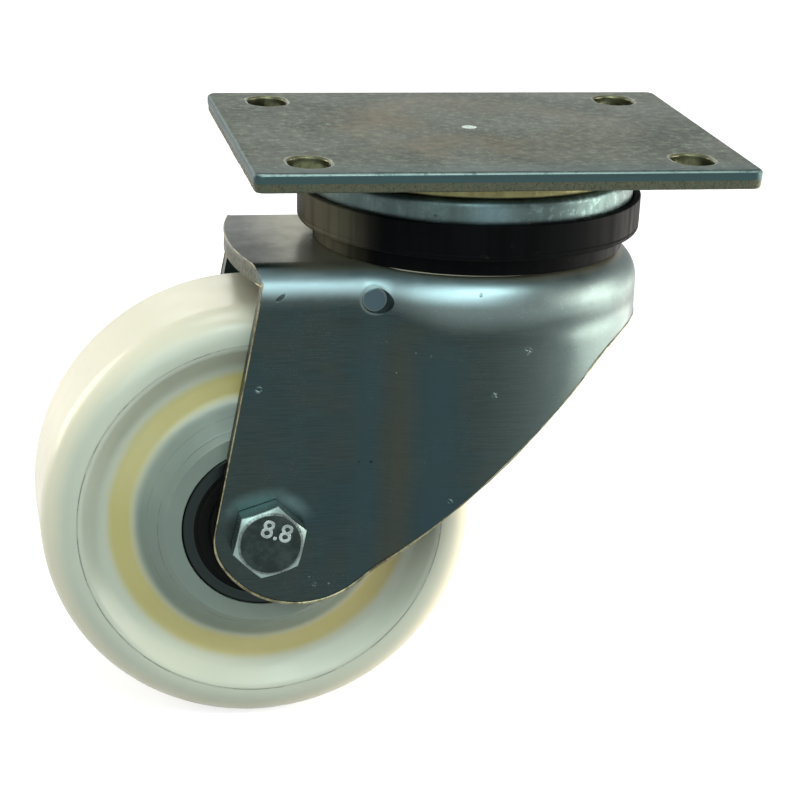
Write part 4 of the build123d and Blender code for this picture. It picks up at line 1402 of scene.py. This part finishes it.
class CASTER_OT_stage(bpy.types.Operator):
    """Set the camera, the floor and the studio lamps"""

    bl_idname = "caster.stage"
    bl_label = "Stage"

    def execute(self, context):
        settings = context.scene.caster_stage
        self.camera(context, settings)
        self.floor(settings)
        self.world(context)
        for lamp in LAMPS:
            self.lamp(*lamp)
        context.scene.view_settings.view_transform = "Standard"
        return {"FINISHED"}

    def camera(self, context, settings):
        """Camera on a sphere round its target: its back axis follows azimuth and elevation, then it rolls."""
        turn, rise, roll = settings.azimuth, settings.elevation, settings.roll
        back = Vector((sin(turn) * cos(rise), -cos(turn) * cos(rise), sin(rise)))
        right = Vector((cos(turn), sin(turn), 0))
        up = back.cross(right)
        across = right * cos(roll) + up * sin(roll)
        above = up * cos(roll) - right * sin(roll)
        data = bpy.data.cameras.new("camera")
        data.sensor_width = 36.0
        data.lens = settings.lens
        data.clip_start = 0.05
        data.clip_end = 20.0
        camera = linked("camera", data)
        axes = Matrix((across, above, back)).transposed().to_4x4()
        camera.matrix_world = Matrix.Translation(Vector(settings.target) + back * settings.distance) @ axes
        context.scene.camera = camera

    def floor(self, settings):
        """A wide floor that shows white to the camera and keeps the caster's soft shadow."""
        mesh = bpy.data.meshes.new("floor")
        far = FLOOR_REACH
        corners = [(-far, -far, FLOOR_Z), (far, -far, FLOOR_Z), (far, far, FLOOR_Z), (-far, far, FLOOR_Z)]
        mesh.from_pydata(corners, [], [(0, 1, 2, 3)])
        pale = Finish("floor_pale", Base_Color=linear(settings.floor), Roughness=0.9, Specular_IOR_Level=0.1)
        fade = pale.ranged(pale.length(pale.place), 0.25, 0.9, 0.74, 1.0, smooth=False)
        rays = pale.add("ShaderNodeLightPath", {}).outputs
        seen = pale.maths("MAXIMUM", rays["Is Camera Ray"], rays["Is Glossy Ray"])
        glow = pale.add("ShaderNodeEmission", {"Strength": fade}).outputs[0]
        black = pale.add("ShaderNodeEmission", {"Strength": 0.0}).outputs[0]
        choose = pale.add("ShaderNodeMixShader", {0: seen, 1: black, 2: glow}).outputs[0]
        both = pale.add("ShaderNodeAddShader", {0: pale.shader.outputs[0], 1: choose}).outputs[0]
        pale.tree.links.new(both, pale.tree.nodes["Material Output"].inputs["Surface"])
        mesh.materials.append(pale.material)
        linked("floor", mesh)

    def world(self, context):
        """A white surround for the camera and for reflections, and a softer one for plain light."""
        world = bpy.data.worlds.new("studio")
        context.scene.world = world
        world.use_nodes = True
        tree = world.node_tree
        tree.nodes.clear()
        rays = add_node(tree, "ShaderNodeLightPath", {}).outputs
        shiny = {0: rays["Is Glossy Ray"], 1: rays["Is Transmission Ray"]}
        shiny = add_node(tree, "ShaderNodeMath", shiny, operation="MAXIMUM").outputs[0]
        seen = {0: rays["Is Camera Ray"], 1: shiny}
        seen = add_node(tree, "ShaderNodeMath", seen, operation="MAXIMUM").outputs[0]
        soft = add_node(tree, "ShaderNodeBackground", {"Color": SOFT_SKY, "Strength": 0.12}).outputs[0]
        white = add_node(tree, "ShaderNodeBackground", {"Color": (1.0, 1.0, 1.0, 1.0)}).outputs[0]
        choose = add_node(tree, "ShaderNodeMixShader", {0: seen, 1: soft, 2: white}).outputs[0]
        add_node(tree, "ShaderNodeOutputWorld", {"Surface": choose})

    def lamp(self, name, place, width, height, power, colour):
        """A rectangular soft lamp that faces the caster."""
        data = bpy.data.lights.new(name, "AREA")
        data.shape = "RECTANGLE"
        data.size, data.size_y = width, height
        data.energy = power
        data.color = colour
        aim = Vector(LAMP_AIM) - Vector(place)
        turn = aim.to_track_quat("-Z", "Y").to_matrix().to_4x4()
        linked(name, data).matrix_world = Matrix.Translation(place) @ turn


class CASTER_PT_panel(bpy.types.Panel):
    """Lists the caster's pieces in the sidebar"""

    bl_idname = "CASTER_PT_panel"
    bl_label = "Swivel Caster"
    bl_space_type = "VIEW_3D"
    bl_region_type = "UI"
    bl_category = "Caster"

    def draw(self, context):
        for operator in OPERATORS:
            self.layout.operator(operator.bl_idname)
        for name in SETTINGS:
            box = self.layout.box()
            settings = getattr(context.scene, name)
            for prop in settings.__annotations__:
                box.prop(settings, prop)


OPERATORS = (
    CASTER_OT_plate,
    CASTER_OT_swivel_head,
    CASTER_OT_seal,
    CASTER_OT_fork,
    CASTER_OT_wheel,
    CASTER_OT_bearings,
    CASTER_OT_axle,
    CASTER_OT_stage,
)
SETTINGS = {
    "caster_plate": CasterPlateSettings,
    "caster_seal": CasterSealSettings,
    "caster_fork": CasterForkSettings,
    "caster_wheel": CasterWheelSettings,
    "caster_axle": CasterAxleSettings,
    "caster_stage": CasterStageSettings,
}


def register():
    for group in SETTINGS.values():
        bpy.utils.register_class(group)
    for operator in OPERATORS:
        bpy.utils.register_class(operator)
    bpy.utils.register_class(CASTER_PT_panel)
    for name, group in SETTINGS.items():
        setattr(bpy.types.Scene, name, PointerProperty(type=group))


def unregister():
    for name in SETTINGS:
        delattr(bpy.types.Scene, name)
    bpy.utils.unregister_class(CASTER_PT_panel)
    for operator in reversed(OPERATORS):
        bpy.utils.unregister_class(operator)
    for group in reversed(SETTINGS.values()):
        bpy.utils.unregister_class(group)


def main():
    """Make every piece and the stage."""
    register()
    bpy.ops.caster.plate()
    bpy.ops.caster.swivel_head()
    bpy.ops.caster.seal()
    bpy.ops.caster.fork()
    bpy.ops.caster.wheel()
    bpy.ops.caster.bearings()
    bpy.ops.caster.axle()
    bpy.ops.caster.stage()


if __name__ == "__main__":
    main()
